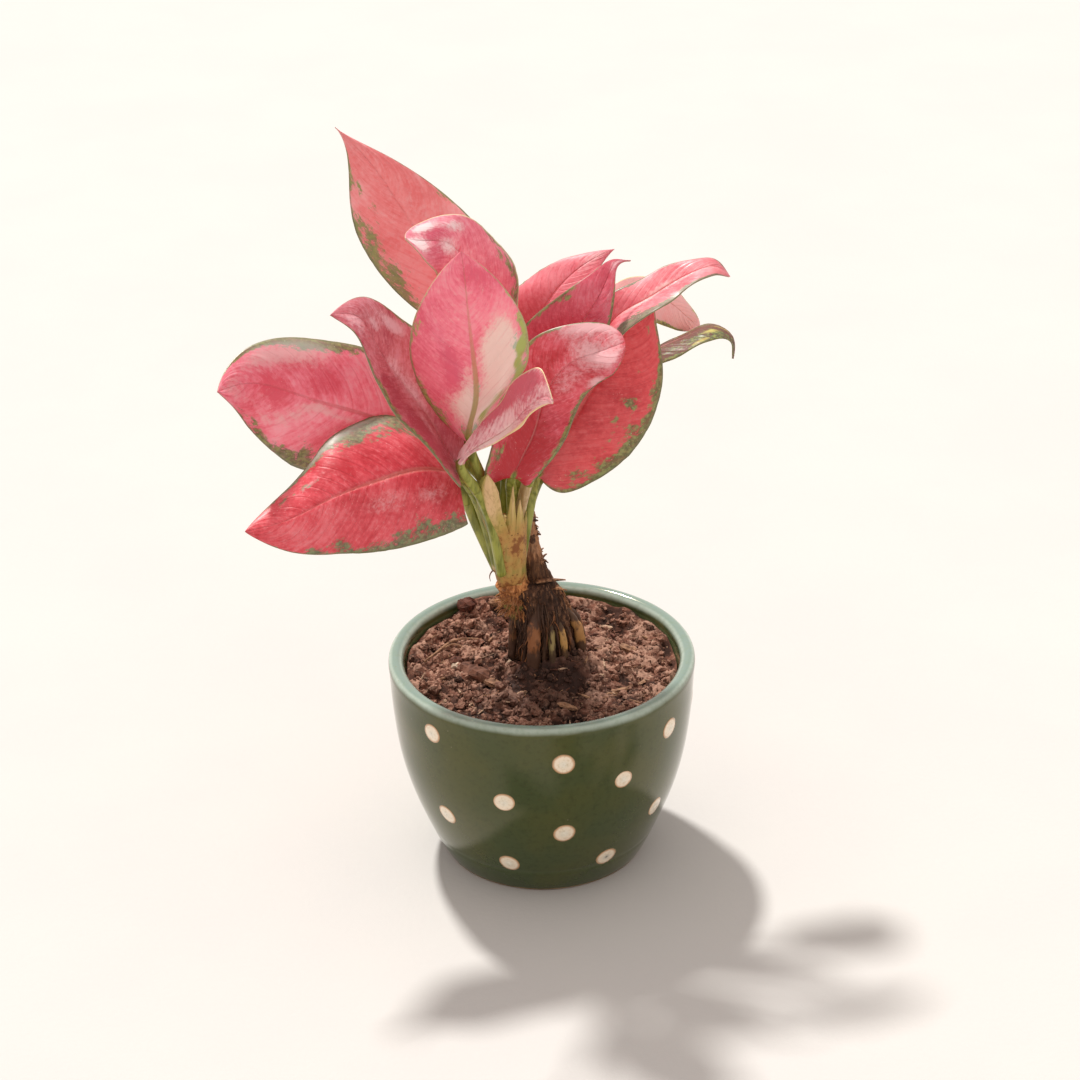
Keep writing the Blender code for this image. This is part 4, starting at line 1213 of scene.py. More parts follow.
@dataclass(frozen=True, kw_only=True)
class Leaf(Tone):
    """A leaf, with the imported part's own numbers in millimetres, and its colours.

    foot is where its stalk leaves the sheath, midrib the points of its line from the blade's
    base to its tip, and across the direction from the left edge to the right one at the
    base, middle and tip. width holds the widest left and right half, outline the powers of
    the distance from the base and the tip that shape the margin. fold is the tilt of the
    left and right half at the midrib, and curl its change out to the margin, each at the
    base, middle and tip. lobe draws the margin back beside the stalk. wave is how far the
    margin ripples, quilt the height of the rows between the side veins, ragged how far each
    margin wanders, dry_level the height below which the stalk's sheath has dried, and
    under_share how much its lower face differs.
    """

    name: str
    slot: Slot
    foot: Point
    midrib: Sequence[Point]
    across: tuple[Point, Point, Point]
    width: tuple[float, float]
    outline: tuple[float, float]
    fold: tuple[Keys, Keys]
    curl: tuple[Keys, Keys]
    lobe: float
    wave: float = 0.5
    quilt: float = 0.13
    ragged: tuple[float, float] = (0.014, 0.014)
    dry_level: float = 146.0
    under_share: float = 0.8

    STEPS = 104
    STALK_STEPS = 16
    COLUMNS = 51
    TIP_END = 0.9995
    THICKNESS = 0.8
    EDGE_SHARE = 0.45
    RIDGE = 1.3
    RIDGE_SHARE = 0.18
    GROOVE = 0.45
    GROOVE_SHARE = 0.035
    STALK_RADIUS = (2.3, 1.7)
    STALK_FADE = 0.14
    VEINS = 15
    SWEEP = 0.24
    BUNDLE_LOW = (-12.5, 0.0, 128.0)
    BUNDLE_HIGH = (-15.0, 0.0, 163.0)
    BUNDLE_SHARE = 0.35

    def path(self) -> tuple[Callable[[Array], Array], float, float]:
        """The line of the stalk, from a place in the bundle under its foot, and the midrib.

        Returns:
            The line as a function of shares, and the shares at the foot and the blade's base.
        """
        bundle = self.BUNDLE_LOW, self.BUNDLE_HIGH, self.foot
        low, high, foot = (np.array(p, float) for p in bundle)
        start = low + self.BUNDLE_SHARE * (foot - high)
        start[2] = low[2]
        at, knots = spline([start, self.foot, *self.midrib])
        return at, knots[1], knots[2]

    def rings(
        self, shares: Array, across: Array, stalk_size: float = 1.0
    ) -> tuple[Array, dict[str, Array]]:
        """Rings round the stalk and blade at shares of the path.

        With a the distance out and t the place along, the half-width is t to the power p
        times (1 - t) to the power q over its peak. Out from the midrib the surface is an
        arc: x is (sin(fold + curl a) - sin fold) / curl and the rise is (cos fold -
        cos(fold + curl a)) / curl, both times the half-width. The margin is drawn back by
        lobe a squared (1 - t) to the power 6 and ripples, the side veins stand in shallow
        rows, and the stalk's half-round section fades out over the blade's first part.

        Args:
            shares: Places on the path.
            across: Places across from -1 to 1.
            stalk_size: The stalk's radius as a share of the real one.

        Returns:
            The rings, over the upper face and back along the lower one, and their values.
        """
        at, foot, base = self.path()
        raw_along = ((shares - base) / (1 - base))[:, None]
        along = np.clip(raw_along, 0, 1)
        stalk = np.clip((shares - foot) / (base - foot), 0, 1)[:, None]
        tangent = tangents(at, shares)
        side = unit(through(self.across, along[:, 0]))
        lean = (side * tangent).sum(axis=-1, keepdims=True) * np.clip(1 - along / 0.08, 0, 1)
        side = unit(side - tangent * lean)
        up = unit(np.cross(side, tangent))
        u = across[None, :]
        out = np.abs(u)
        is_left = u < 0
        sign = np.where(is_left, -1.0, 1.0)

        p, q = self.outline
        peak = p / (p + q)
        shape = along**p * (1 - along) ** q / (peak**p * (1 - peak) ** q)
        half = np.where(is_left, *self.width)
        fold = np.radians(np.where(is_left, *(through(v, along) for v in self.fold)))
        curl = np.radians(np.where(is_left, *(through(v, along) for v in self.curl)))
        curl = np.where(np.abs(curl) < 1e-3, 1e-3, curl)
        angle = fold + curl * out
        x = sign * half * shape * (np.sin(angle) - np.sin(fold)) / curl
        rise = half * shape * (np.cos(fold) - np.cos(angle)) / curl
        back = self.lobe * 2 * half * out**2 * shape * (1 - along) ** 6

        turns = 2 * math.pi * (3.2 * along + 0.31 * sign + 0.1 * len(self.name))
        lively = np.sin(math.pi * along) ** 0.7
        rise = rise + self.wave * out**2.5 * np.sin(turns) * lively
        vein = along - self.SWEEP * out**1.25
        places = joined(9 * vein, 2 * u)
        uneven = 0.6 + 1.6 * rough_noise(places, 2, len(self.name))
        turn = self.VEINS * vein + 0.35 * rough_noise(places + 7, 2, 3)
        rows = np.cos(2 * math.pi * turn) * uneven * (1 - out**3) * smooth(out, 0.02, 0.3)
        rise = rise + self.quilt * rows * lively
        lines = (np.concatenate([along * 23, along * 0 + k], axis=1) for k in (1, 9))
        notches = (r * rough_noise(p, 3, 5)[:, None] for r, p in zip(self.ragged, lines))
        x = x * (1 + np.where(is_left, *notches) * out**6 * lively)

        radius = self.STALK_RADIUS[0] + (self.STALK_RADIUS[1] - self.STALK_RADIUS[0]) * stalk
        radius = radius * stalk_size
        leaving = np.clip(1 - along / self.STALK_FADE, 0, 1)
        x = x + leaving * radius * np.sin(0.5 * math.pi * u)
        round_up = np.cos(0.5 * math.pi * u)
        plate = 0.5 * self.THICKNESS * (1 - (1 - self.EDGE_SHARE) * out**3)
        ridge = self.RIDGE * (1 - along) ** 1.2 * np.clip(1 - out / self.RIDGE_SHARE, 0, 1) ** 1.4
        groove = self.GROOVE * (1 - along) ** 0.6 * bell((out, 0, self.GROOVE_SHARE))
        groove = groove * (1 - leaving)
        above = plate + leaving * (0.5 * radius * round_up) - groove
        below = plate + leaving * radius * round_up + (1 - leaving) * ridge
        tilt = angle * np.clip(along / 0.05, 0, 1)
        up, side, tangent = up[:, None], side[:, None], tangent[:, None]
        skin = up * np.cos(tilt)[..., None] - side * (sign * np.sin(tilt))[..., None]
        surface = at(shares)[:, None] + side * x[..., None] + up * rise[..., None]
        surface = surface - tangent * back[..., None]
        upper = surface + skin * above[..., None]
        lower = surface - skin * below[..., None]
        rings = np.concatenate([upper, lower[:, ::-1]], axis=1)
        return rings, self.values(raw_along, u)

    def values(self, along: Array, u: Array) -> dict[str, Array]:
        """The named values at a ring's points: places, and how thick each kind of oval lies,
        which is the sum of strengths times a bell about each one's middle.

        Args:
            along: Places along the blade, below 0 on the stalk.
            u: Places across it.

        Returns:
            Values for the upper face, then the lower one.
        """
        full = np.broadcast_to(along, (along.shape[0], u.shape[1]))
        out = np.abs(u)
        reach = np.maximum(np.where(u < 0, *self.margin), 0.01)
        margin = np.exp(-(((1 - out) / reach) ** 1.5)) * 1.05
        named = {}
        kinds = {"green": self.greens, "pale": self.pales, "deep": self.deeps, "cream": self.creams}
        for name, ovals in kinds.items():
            total = np.zeros_like(full) + (margin if name == "green" else 0)
            for oval in ovals:
                middle, aside, long, wide, strength = (v / 100 for v in oval)
                total = total + strength * bell((full, middle, long), (u, aside, wide))
            named[name] = total
        named["along"] = full
        named["across"] = np.broadcast_to(u, full.shape)
        named["side"] = np.broadcast_to(np.sign(u), full.shape)
        near = smooth(full, 0.10, -0.01) * smooth(out, 0.30, 0.05)
        named["stalk"] = np.maximum(smooth(full, 0.02, -0.02), near)
        both = {name: np.concatenate([v, v[:, ::-1]], axis=1) for name, v in named.items()}
        both["under"] = np.concatenate([np.zeros_like(full), np.ones_like(full)], axis=1)
        return both

    def build(self) -> Iterator[Object]:
        """Builds the leaf from its foot to its tip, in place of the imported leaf."""
        _, foot, base = self.path()
        stalk = np.linspace(foot, base, self.STALK_STEPS, endpoint=False)
        along = 0.5 - 0.5 * np.cos(np.linspace(0, math.pi, self.STEPS))
        along[-1] = self.TIP_END
        shares = np.concatenate([stalk, base + (1 - base) * along])
        even = np.linspace(-1, 1, self.COLUMNS)
        across = 0.55 * even + 0.45 * np.sign(even) * np.abs(even) ** 2
        rings, values = self.rings(shares, across)
        sheet = Sheet()
        sheet.add_tube(rings, **values)
        skin = BladeFinish(self.name + "_skin", tone=self, under_share=self.under_share).paint()
        yield sheet.build(self.name + "_blade", skin, self.slot, self.name)


LEAVES = (
    Leaf(
        name="leaf_tall_back", slot=Slot.LEAF_PINK, foot=(-17, 10, 161),
        midrib=((-18, 18, 212), (-28, 22, 230.5), (-39, 28, 248), (-51.5, 34, 267),
        (-63.5, 39, 284.5), (-77, 42, 298.5)),
        across=((0.95, 0.2, 0.25), (1, 0.1, 0.1), (0.9, 0.45, 0.1)), width=(23.5, 24),
        outline=(1.3, 1.6), fold=((18, 10, 5), (18, 10, 5)), curl=((-15, -15, -15),
        (-15, -15, -15)), lobe=0.2,
        red=(0.93, 0.37, 0.385), deep=(0.82, 0.22, 0.235), light=(0.97, 0.58, 0.61),
        margin=(0.05, 0.025), green=(0.17, 0.23, 0.08), rib_strength=0.2,
        greens=((45, -75, 30, 30, 30), (73, -72, 5, 13, 72), (64, -52, 3.5, 10, 68),
        (55, -80, 6, 15, 85), (46, -90, 6, 12, 80), (38, -72, 6, 16, 85), (30, -90, 6, 14, 80),
        (18, -92, 8, 16, 80), (65, 94, 4, 8, 90), (81, -93, 8, 8, 80)),
        pales=((60, 25, 12, 30, 50), (50, -35, 8, 25, 40), (85, 0, 8, 50, 30)),
        deeps=((10, 10, 20, 60, 80), (45, 30, 20, 30, 30)),
    ),
    Leaf(
        name="leaf_arching_top", slot=Slot.LEAF_PINK, foot=(-13, 4, 164),
        midrib=((-13, 7, 197), (-20, 11, 217), (-19.5, 11, 239), (-26, 4, 256), (-34, -3.5, 268.5),
        (-42.5, -10, 271.5), (-48.5, -17.5, 275.5)),
        across=((0.95, 0.35, 0), (0.8, 0.35, 0.5), (-0.4, 0.8, 0.5)), width=(16, 15.5),
        outline=(0.6, 0.65), fold=((21, 12, 13), (14, 1, 4)), curl=((-10, -11, -11),
        (-16, -19, -15)), lobe=0.3, dry_level=142, ragged=(0.01, 0.045),
        red=(0.95, 0.33, 0.437), deep=(0.74, 0.14, 0.235), light=(0.97, 0.58, 0.694),
        pale=(0.98, 0.88, 0.9), edge=(0.66, 0.6, 0.34), margin=(0.02, 0.03), gloss=0.3,
        rib_strength=0.4,
        greens=((59, 99, 5, 8, 90), (40, 92, 9, 10, 90), (50, 82, 10, 12, 90), (32, 75, 8, 15, 90),
        (50, -90, 25, 10, 80)),
        pales=((93, -22, 8, 45, 150), (88, 68, 6, 25, 130), (74, -10, 6, 30, 90),
        (75, 60, 5, 20, 90), (60, 20, 8, 30, 35)),
        deeps=((84, 27, 3.5, 30, 130), (40, 30, 15, 40, 40)),
    ),
    Leaf(
        name="leaf_front_upright", slot=Slot.LEAF_PINK, foot=(-21, -14, 170),
        midrib=((-27, -23, 196), (-23.5, -33.5, 217), (-24, -36, 237), (-25.5, -35, 254.5),
        (-26.5, -32.5, 267), (-27.5, -30.5, 275.5)),
        across=((-1, -0.05, -0.05), (-1, 0, -0.1), (-1, 0.1, -0.05)), width=(23.5, 26),
        outline=(0.75, 0.95), fold=((27, 18, 7), (26, 13, 6)), curl=((18, 18, 15), (18, 15, 14)),
        lobe=0.14, under_share=0, dry_level=136,
        red=(0.97, 0.28, 0.392), deep=(0.8, 0.15, 0.246), light=(0.97, 0.48, 0.549),
        pale=(0.91, 0.75, 0.66), green=(0.25, 0.28, 0.07), lime=(0.44, 0.48, 0.13),
        edge=(0.46, 0.42, 0.22), cream=(0.4, 0.44, 0.12), rib=(0.36, 0.29, 0.1), rib_strength=0.9,
        margin=(0.05, 0.05),
        greens=((46, -82, 6, 16, 125), (55, -95, 8, 10, 110), (31, -82, 7, 16, 110),
        (24, 93, 10, 10, 90), (61, 90, 6, 7, 80), (34, -3, 4, 8, 50), (6, -10, 5, 50, 110),
        (10, 85, 12, 22, 130), (20, -90, 10, 12, 100)),
        pales=((20, 28, 12, 35, 75), (32, 12, 14, 12, 50), (36, -42, 18, 36, 115),
        (43, -66, 10, 22, 110), (16, -25, 12, 40, 100), (58, -60, 10, 22, 80),
        (50, -30, 10, 20, 70), (70, 35, 10, 25, 25)),
        # The first two deeper ovals are painted shadows of the leaves behind, seen through the
        # blade.
        deeps=((43, 34, 13, 16, 140), (87, -30, 6, 50, 120), (30, 60, 20, 20, 50)),
        creams=((46, -84, 5, 12, 110), (38, -76, 3.5, 10, 80), (31, -86, 5, 13, 90),
        (56, -95, 5, 8, 90), (20, -60, 7, 25, 60), (12, -35, 5, 20, 70)),
    ),
    Leaf(
        name="leaf_left_folded", slot=Slot.LEAF_CRIMSON, foot=(-26, -10, 167),
        midrib=((-32, -18.5, 180.5), (-41.5, -21, 202.5), (-53.5, -24, 223), (-60.5, -30.5, 239),
        (-67, -33, 251), (-76.5, -37, 253.5)),
        across=((0.3, 0.8, 0.5), (0.25, 0.85, 0.4), (-0.1, 0.8, 0.55)), width=(23, 23),
        outline=(0.6, 0.95), fold=((42, 22, 4), (37, 18, 10)), curl=((-7, -9, -13), (-9, -13, -10)),
        lobe=0.28, dry_level=131,
        red=(0.64, 0.205, 0.25), deep=(0.42, 0.065, 0.105), light=(0.8, 0.42, 0.515),
        pale=(0.86, 0.56, 0.62), margin=(0.05, 0.04), rib_strength=0.3,
        greens=((66, -93, 9, 10, 95), (53, -93, 9, 10, 95), (30, -95, 15, 8, 80),
        (8, -70, 6, 40, 60), (62, 97, 10, 6, 70)),
        pales=((69, 68, 9, 20, 85), (61, 73, 6, 15, 75), (55, 5, 8, 20, 65), (38, 5, 9, 20, 75),
        (28, -38, 8, 15, 60), (88, -30, 8, 60, 70), (76, 30, 5, 15, 80)),
        deeps=((15, 20, 15, 50, 80), (50, -62, 14, 30, 110), (26, -70, 12, 30, 110)),
    ),
    Leaf(
        name="leaf_left_broad", slot=Slot.LEAF_CRIMSON, foot=(-21, 4, 163),
        midrib=((-40.5, 6, 179), (-54.5, 4, 188), (-70, 0, 196.5), (-88.5, -3.5, 204.5),
        (-109, -7.5, 213), (-122, -20.5, 215.5)),
        across=((0.5, 0.45, 0.75), (0.35, 0.45, 0.85), (-0.3, 0.55, 0.75)), width=(30, 25.5),
        outline=(0.65, 0.85), fold=((9, -8, 12), (5, 4, 11)), curl=((-19, -26, -16),
        (-25, -26, -25)), lobe=0.3, quilt=0.2,
        red=(0.96, 0.285, 0.39), deep=(0.76, 0.12, 0.19), light=(0.98, 0.55, 0.65),
        rib=(0.42, 0.12, 0.12), rib_strength=0.6, margin=(0.08, 0.09), gloss=0.3, veins=0.25,
        greens=((86, 97, 8, 10, 90), (76, 95, 8, 12, 90), (64, 93, 10, 16, 100),
        (54, 93, 10, 18, 100), (89, -80, 4, 10, 90), (79, -78, 4, 13, 90), (71, -93, 6, 10, 90),
        (60, -87, 6, 13, 95), (52, -80, 5, 22, 100), (40, -90, 10, 15, 100)),
        pales=((78, 60, 10, 30, 80), (64, 73, 12, 25, 90), (80, -35, 12, 30, 40),
        (58, -15, 4, 8, 85), (66, -45, 4.5, 9, 70), (62, -30, 4, 8, 85), (73, -60, 4, 9, 60),
        (53, -7, 4, 7, 80), (47, -12, 5, 7, 70), (39, -13, 4, 5, 70), (93, 0, 5, 60, 60)),
        deeps=((71, -7, 8, 25, 110), (52, 33, 10, 25, 100)),
    ),
    Leaf(
        name="leaf_lower_left", slot=Slot.LEAF_CRIMSON, foot=(-28, -4, 159),
        midrib=((-32.5, -9, 172), (-45.5, -17.5, 180), (-61.5, -24.5, 179), (-79.5, -33.5, 176),
        (-96, -36.5, 168.5), (-112.5, -43, 167)),
        across=((-0.4, 0.55, 0.75), (-0.3, 0.55, 0.75), (-0.15, 0.6, 0.8)), width=(28, 28),
        outline=(0.4, 0.9), fold=((7, -1, 5), (4, -2, -8)), curl=((-14, -18, -15), (-35, -35, -37)),
        lobe=0.07, dry_level=121, quilt=0.16,
        red=(0.78, 0.105, 0.14), deep=(0.54, 0.036, 0.056), light=(0.92, 0.26, 0.302),
        green=(0.085, 0.125, 0.06), lime=(0.2, 0.26, 0.12), rib=(0.72, 0.33, 0.26),
        margin=(0.05, 0.11), gloss=0.34, veins=0.3,
        greens=((72, 97, 10, 12, 95), (55, 93, 12, 20, 100), (40, 86, 10, 25, 105),
        (24, 85, 10, 25, 100), (12, 80, 10, 30, 80), (72, 53, 7, 7, 80), (82, 68, 5, 12, 80),
        (64, 45, 6, 6, 75), (41, 70, 3, 10, 100), (72, -90, 5, 10, 95), (62, -80, 5, 15, 95),
        (50, -93, 6, 10, 90), (39, -88, 6, 14, 95), (28, -82, 6, 20, 105), (18, -90, 6, 16, 100),
        (8, -88, 8, 20, 100)),
        pales=((50, 98, 22, 13, 110), (68, 50, 10, 8, 60), (39, -32, 12, 20, 55),
        (20, -40, 6, 15, 60), (12, -20, 5, 40, 30)),
        deeps=((75, 10, 12, 35, 80), (45, 30, 15, 25, 60)),
    ),
    Leaf(
        name="leaf_front_small", slot=Slot.LEAF_PINK, foot=(-25, -20, 172),
        midrib=((-30, -32.5, 190.5), (-20, -36, 200), (-9.5, -40, 209.5), (-3.5, -44.5, 218.5),
        (3.5, -47.5, 224), (5.5, -52, 224)),
        across=((0.35, -0.8, -0.5), (0.15, -0.8, -0.55), (-0.1, -0.75, -0.65)), width=(13, 3.5),
        outline=(1, 0.45), fold=((23, 18, 26), (6, 0, -1)), curl=((-11, -14, -7), (-20, -20, -20)),
        lobe=0.29, dry_level=122,
        red=(0.98, 0.68, 0.71), deep=(0.66, 0.15, 0.213), light=(0.98, 0.66, 0.67),
        pale=(0.97, 0.76, 0.7), edge=(0.9, 0.76, 0.46), cream=(0.92, 0.72, 0.36),
        margin=(0.015, 0.015),
        pales=((39, 40, 20, 40, 80), (47, 0, 15, 20, 50), (20, 20, 10, 50, 60)),
        deeps=((72, -70, 20, 30, 160), (45, -85, 20, 25, 160), (90, 30, 10, 50, 80)),
        creams=((74, 98, 16, 16, 120), (50, 93, 14, 20, 120), (30, 95, 15, 12, 70),
        (93, -98, 10, 8, 90)),
    ),
    Leaf(
        name="leaf_front_right", slot=Slot.LEAF_CRIMSON, foot=(-11, -9, 167),
        midrib=((-10.5, -14.5, 175), (-2.5, -10.5, 190), (2.5, -13.5, 208.5), (12, -12.5, 221.5),
        (23.5, -13, 226.5), (33.5, -8, 228)),
        across=((0.95, 0.2, -0.2), (0.85, -0.1, -0.55), (0.2, -0.85, -0.5)), width=(18, 14),
        outline=(0.4, 0.45), fold=((21, 20, 15), (14, 10, 6)), curl=((-9, -10, -10),
        (-25, -25, -25)), lobe=0.43, dry_level=138, quilt=0.2,
        red=(0.76, 0.105, 0.151), deep=(0.5, 0.02, 0.034), light=(0.88, 0.26, 0.336),
        pale=(0.93, 0.59, 0.63), margin=(0.05, 0.06), gloss=0.3,
        greens=((67, -98, 9, 8, 90), (59, 93, 4, 9, 100), (50, 95, 7, 10, 100),
        (40, 95, 7, 12, 110), (28, 90, 6, 14, 100), (20, 88, 6, 12, 90), (16, -75, 6, 12, 80),
        (0, 20, 4, 60, 80), (8, -85, 8, 16, 80), (10, 85, 6, 16, 90)),
        pales=((86, -85, 12, 25, 120), (95, -30, 5, 50, 70), (80, -10, 10, 50, 90),
        (70, 90, 6, 13, 120), (60, 30, 13, 40, 60), (88, 50, 12, 40, 90)),
        deeps=((66, -40, 7, 20, 100), (20, 0, 22, 80, 130), (4, 0, 12, 90, 100)),
    ),
    Leaf(
        name="leaf_right_large", slot=Slot.LEAF_CRIMSON, foot=(-3, -2, 161),
        midrib=((-1, 3.5, 165.5), (9.5, 7, 182), (21, 10.5, 200), (32, 16.5, 216), (38.5, 22, 229),
        (45, 27, 235)),
        across=((0.9, -0.05, -0.45), (0.85, -0.15, -0.55), (0.8, -0.1, -0.6)), width=(18, 28),
        outline=(0.6, 0.9), fold=((15, 10, 5), (9, 5, -2)), curl=((-15, -15, -15), (-25, -24, -26)),
        lobe=0.24, dry_level=136, quilt=0.2,
        red=(0.75, 0.1, 0.118), deep=(0.52, 0.036, 0.052), light=(0.8, 0.17, 0.185),
        pale=(0.78, 0.34, 0.36), lime=(0.26, 0.31, 0.1), margin=(0.06, 0.13), rib_strength=0.3,
        veins=0.3,
        greens=((35, 80, 20, 25, 30), (3, 88, 6, 20, 80), (3, -85, 8, 20, 70), (64, 50, 2, 8, 85),
        (59, 83, 3, 8, 85), (50, 58, 2.5, 12, 120), (40, 50, 3, 10, 110), (48, 95, 4, 8, 90),
        (41, 80, 3, 12, 90), (31, 92, 7, 12, 105), (21, 88, 6, 16, 100), (12, 70, 4, 20, 75),
        (82, 58, 4, 8, 70), (70, 95, 15, 7, 80)),
        pales=((45, 30, 30, 50, 25),),
        deeps=((30, 30, 40, 60, 30),),
    ),
    Leaf(
        name="leaf_back_right", slot=Slot.LEAF_PINK, foot=(-12, 11, 160),
        midrib=((-3.5, 26, 209.5), (1.5, 30, 224), (9.5, 34, 234.5), (19.5, 39, 241.5),
        (31, 44, 245.5)),
        across=((0.95, -0.05, -0.25), (0.85, -0.4, -0.3), (0.45, -0.55, -0.7)), width=(16, 16),
        outline=(0.3, 1.15), fold=((15, 5, 0), (15, 10, 5)), curl=((-20, -20, -20),
        (-10, -10, -10)), lobe=0.31, ragged=(0.05, 0.01),
        red=(0.86, 0.25, 0.314), deep=(0.66, 0.1, 0.146), light=(0.94, 0.38, 0.448),
        rib_strength=0.2, margin=(0.015, 0.03),
        greens=((40, 95, 30, 8, 70),),
        pales=((74, 10, 10, 50, 50), (88, -15, 9, 60, 80), (62, -85, 8, 20, 50)),
        deeps=((30, -30, 15, 40, 80),),
    ),
    Leaf(
        name="leaf_middle_right", slot=Slot.LEAF_CRIMSON, foot=(-8, -2, 164),
        midrib=((4.5, 0.5, 207), (12, 3, 222.5), (20.5, 5, 236), (27, 9.5, 246.5),
        (30.5, 14, 251.5), (36.5, 17, 251.5)),
        across=((0.9, -0.2, -0.4), (0.9, -0.2, -0.4), (0.4, -0.75, -0.55)), width=(20, 14),
        outline=(0.35, 1.5), fold=((14, 9, 4), (21, 21, 9)), curl=((-10, -11, -10),
        (-15, -15, -15)), lobe=0.29, dry_level=140,
        red=(0.72, 0.125, 0.196), deep=(0.52, 0.055, 0.101), light=(0.8, 0.26, 0.336),
        pale=(0.82, 0.5, 0.55), margin=(0.04, 0.06),
        greens=((53, -82, 5, 16, 100), (45, -95, 12, 8, 80), (66, 93, 15, 10, 100),
        (40, 92, 15, 12, 95)),
        pales=((88, 7, 9, 60, 100), (66, 60, 15, 20, 50), (50, -30, 10, 20, 30)),
    ),
    Leaf(
        name="leaf_right_narrow", slot=Slot.LEAF_PINK, foot=(-5, -8, 168),
        midrib=((23.5, 5.5, 220), (30.5, 9, 231), (42.5, 13, 237), (53.5, 19, 241.5),
        (64, 22, 245.5), (70, 25, 245), (75.5, 26, 240.5)),
        across=((0.65, -0.7, -0.3), (0.35, -0.9, -0.35), (-0.25, -0.9, -0.35)), width=(9, 13.5),
        outline=(0.5, 0.85), fold=((34, 23, 12), (29, 31, 12)), curl=((-16, -16, -14),
        (-21, -15, -17)), lobe=0.3, dry_level=172,
        red=(0.88, 0.24, 0.291), deep=(0.68, 0.11, 0.157), light=(0.95, 0.46, 0.515),
        pale=(0.92, 0.66, 0.63), green=(0.09, 0.11, 0.06), lime=(0.17, 0.19, 0.1),
        margin=(0.05, 0.11), gloss=0.3, rib=(0.94, 0.52, 0.52), rib_strength=0.4,
        greens=((22, 85, 12, 30, 160), (44, 92, 14, 20, 150), (70, 98, 18, 14, 140),
        (36, -99, 8, 13, 100), (93, -97, 7, 35, 150)),
        pales=((51, -12, 12, 14, 90), (34, 12, 14, 15, 100), (66, 15, 12, 15, 70),
        (85, 0, 8, 50, 40), (60, 80, 25, 20, 40)),
    ),
    Leaf(
        name="leaf_rear_right", slot=Slot.LEAF_PINK, foot=(-5, 14, 159),
        midrib=((25, 36, 218), (37.5, 44.5, 224.5), (49.5, 50, 222), (58, 54, 214),
        (65.5, 56, 206)),
        across=((0.8, -0.25, -0.55), (-0.05, -0.65, -0.75), (-0.65, -0.5, -0.55)), width=(8, 11.5),
        outline=(0.3, 0.55), fold=((10, 4, 5), (10, 5, 5)), curl=((-10, -10, -10), (-10, -10, -10)),
        lobe=0.32, under_share=0,
        red=(0.99, 0.68, 0.68), deep=(0.98, 0.52, 0.53), light=(0.99, 0.7, 0.7),
        margin=(0.03, 0.06), lime=(0.5, 0.5, 0.12), edge=(0.5, 0.5, 0.13), rib_strength=0.2,
        greens=((60, 96, 30, 14, 140), (90, -90, 10, 20, 90)),
        pales=((50, -20, 30, 50, 20),),
    ),
    Leaf(
        name="leaf_far_right", slot=Slot.LEAF_STRIPED, foot=(-1, 7, 162),
        midrib=((34.5, 30, 197.5), (47.5, 34, 206.5), (60, 38, 210.5), (70, 41, 212.5),
        (78, 42.5, 207.5), (78.5, 43, 198)),
        across=((0.35, -0.95, 0.1), (0.2, -0.95, 0.1), (-0.1, -1, 0.05)), width=(15, 10),
        outline=(0.6, 0.75), fold=((-21, -8, 5), (-17, -4, 0)), curl=((-21, -19, -18),
        (-19, -17, -20)), lobe=0.29, dry_level=140, under_share=0,
        red=(0.14, 0.065, 0.045), deep=(0.15, 0.055, 0.04), light=(0.12, 0.1, 0.06),
        green=(0.07, 0.09, 0.04), lime=(0.24, 0.27, 0.07), cream=(0.46, 0.42, 0.11),
        pale=(0.12, 0.13, 0.11), edge=(0.2, 0.2, 0.07), margin=(0.2, 0.2), gloss=0.6,
        greens=((60, 50, 40, 35, 110), (50, -50, 40, 30, 110)),
        creams=((64, 40, 8, 20, 80), (53, 83, 10, 12, 80), (75, -10, 15, 15, 60)),
    ),
)


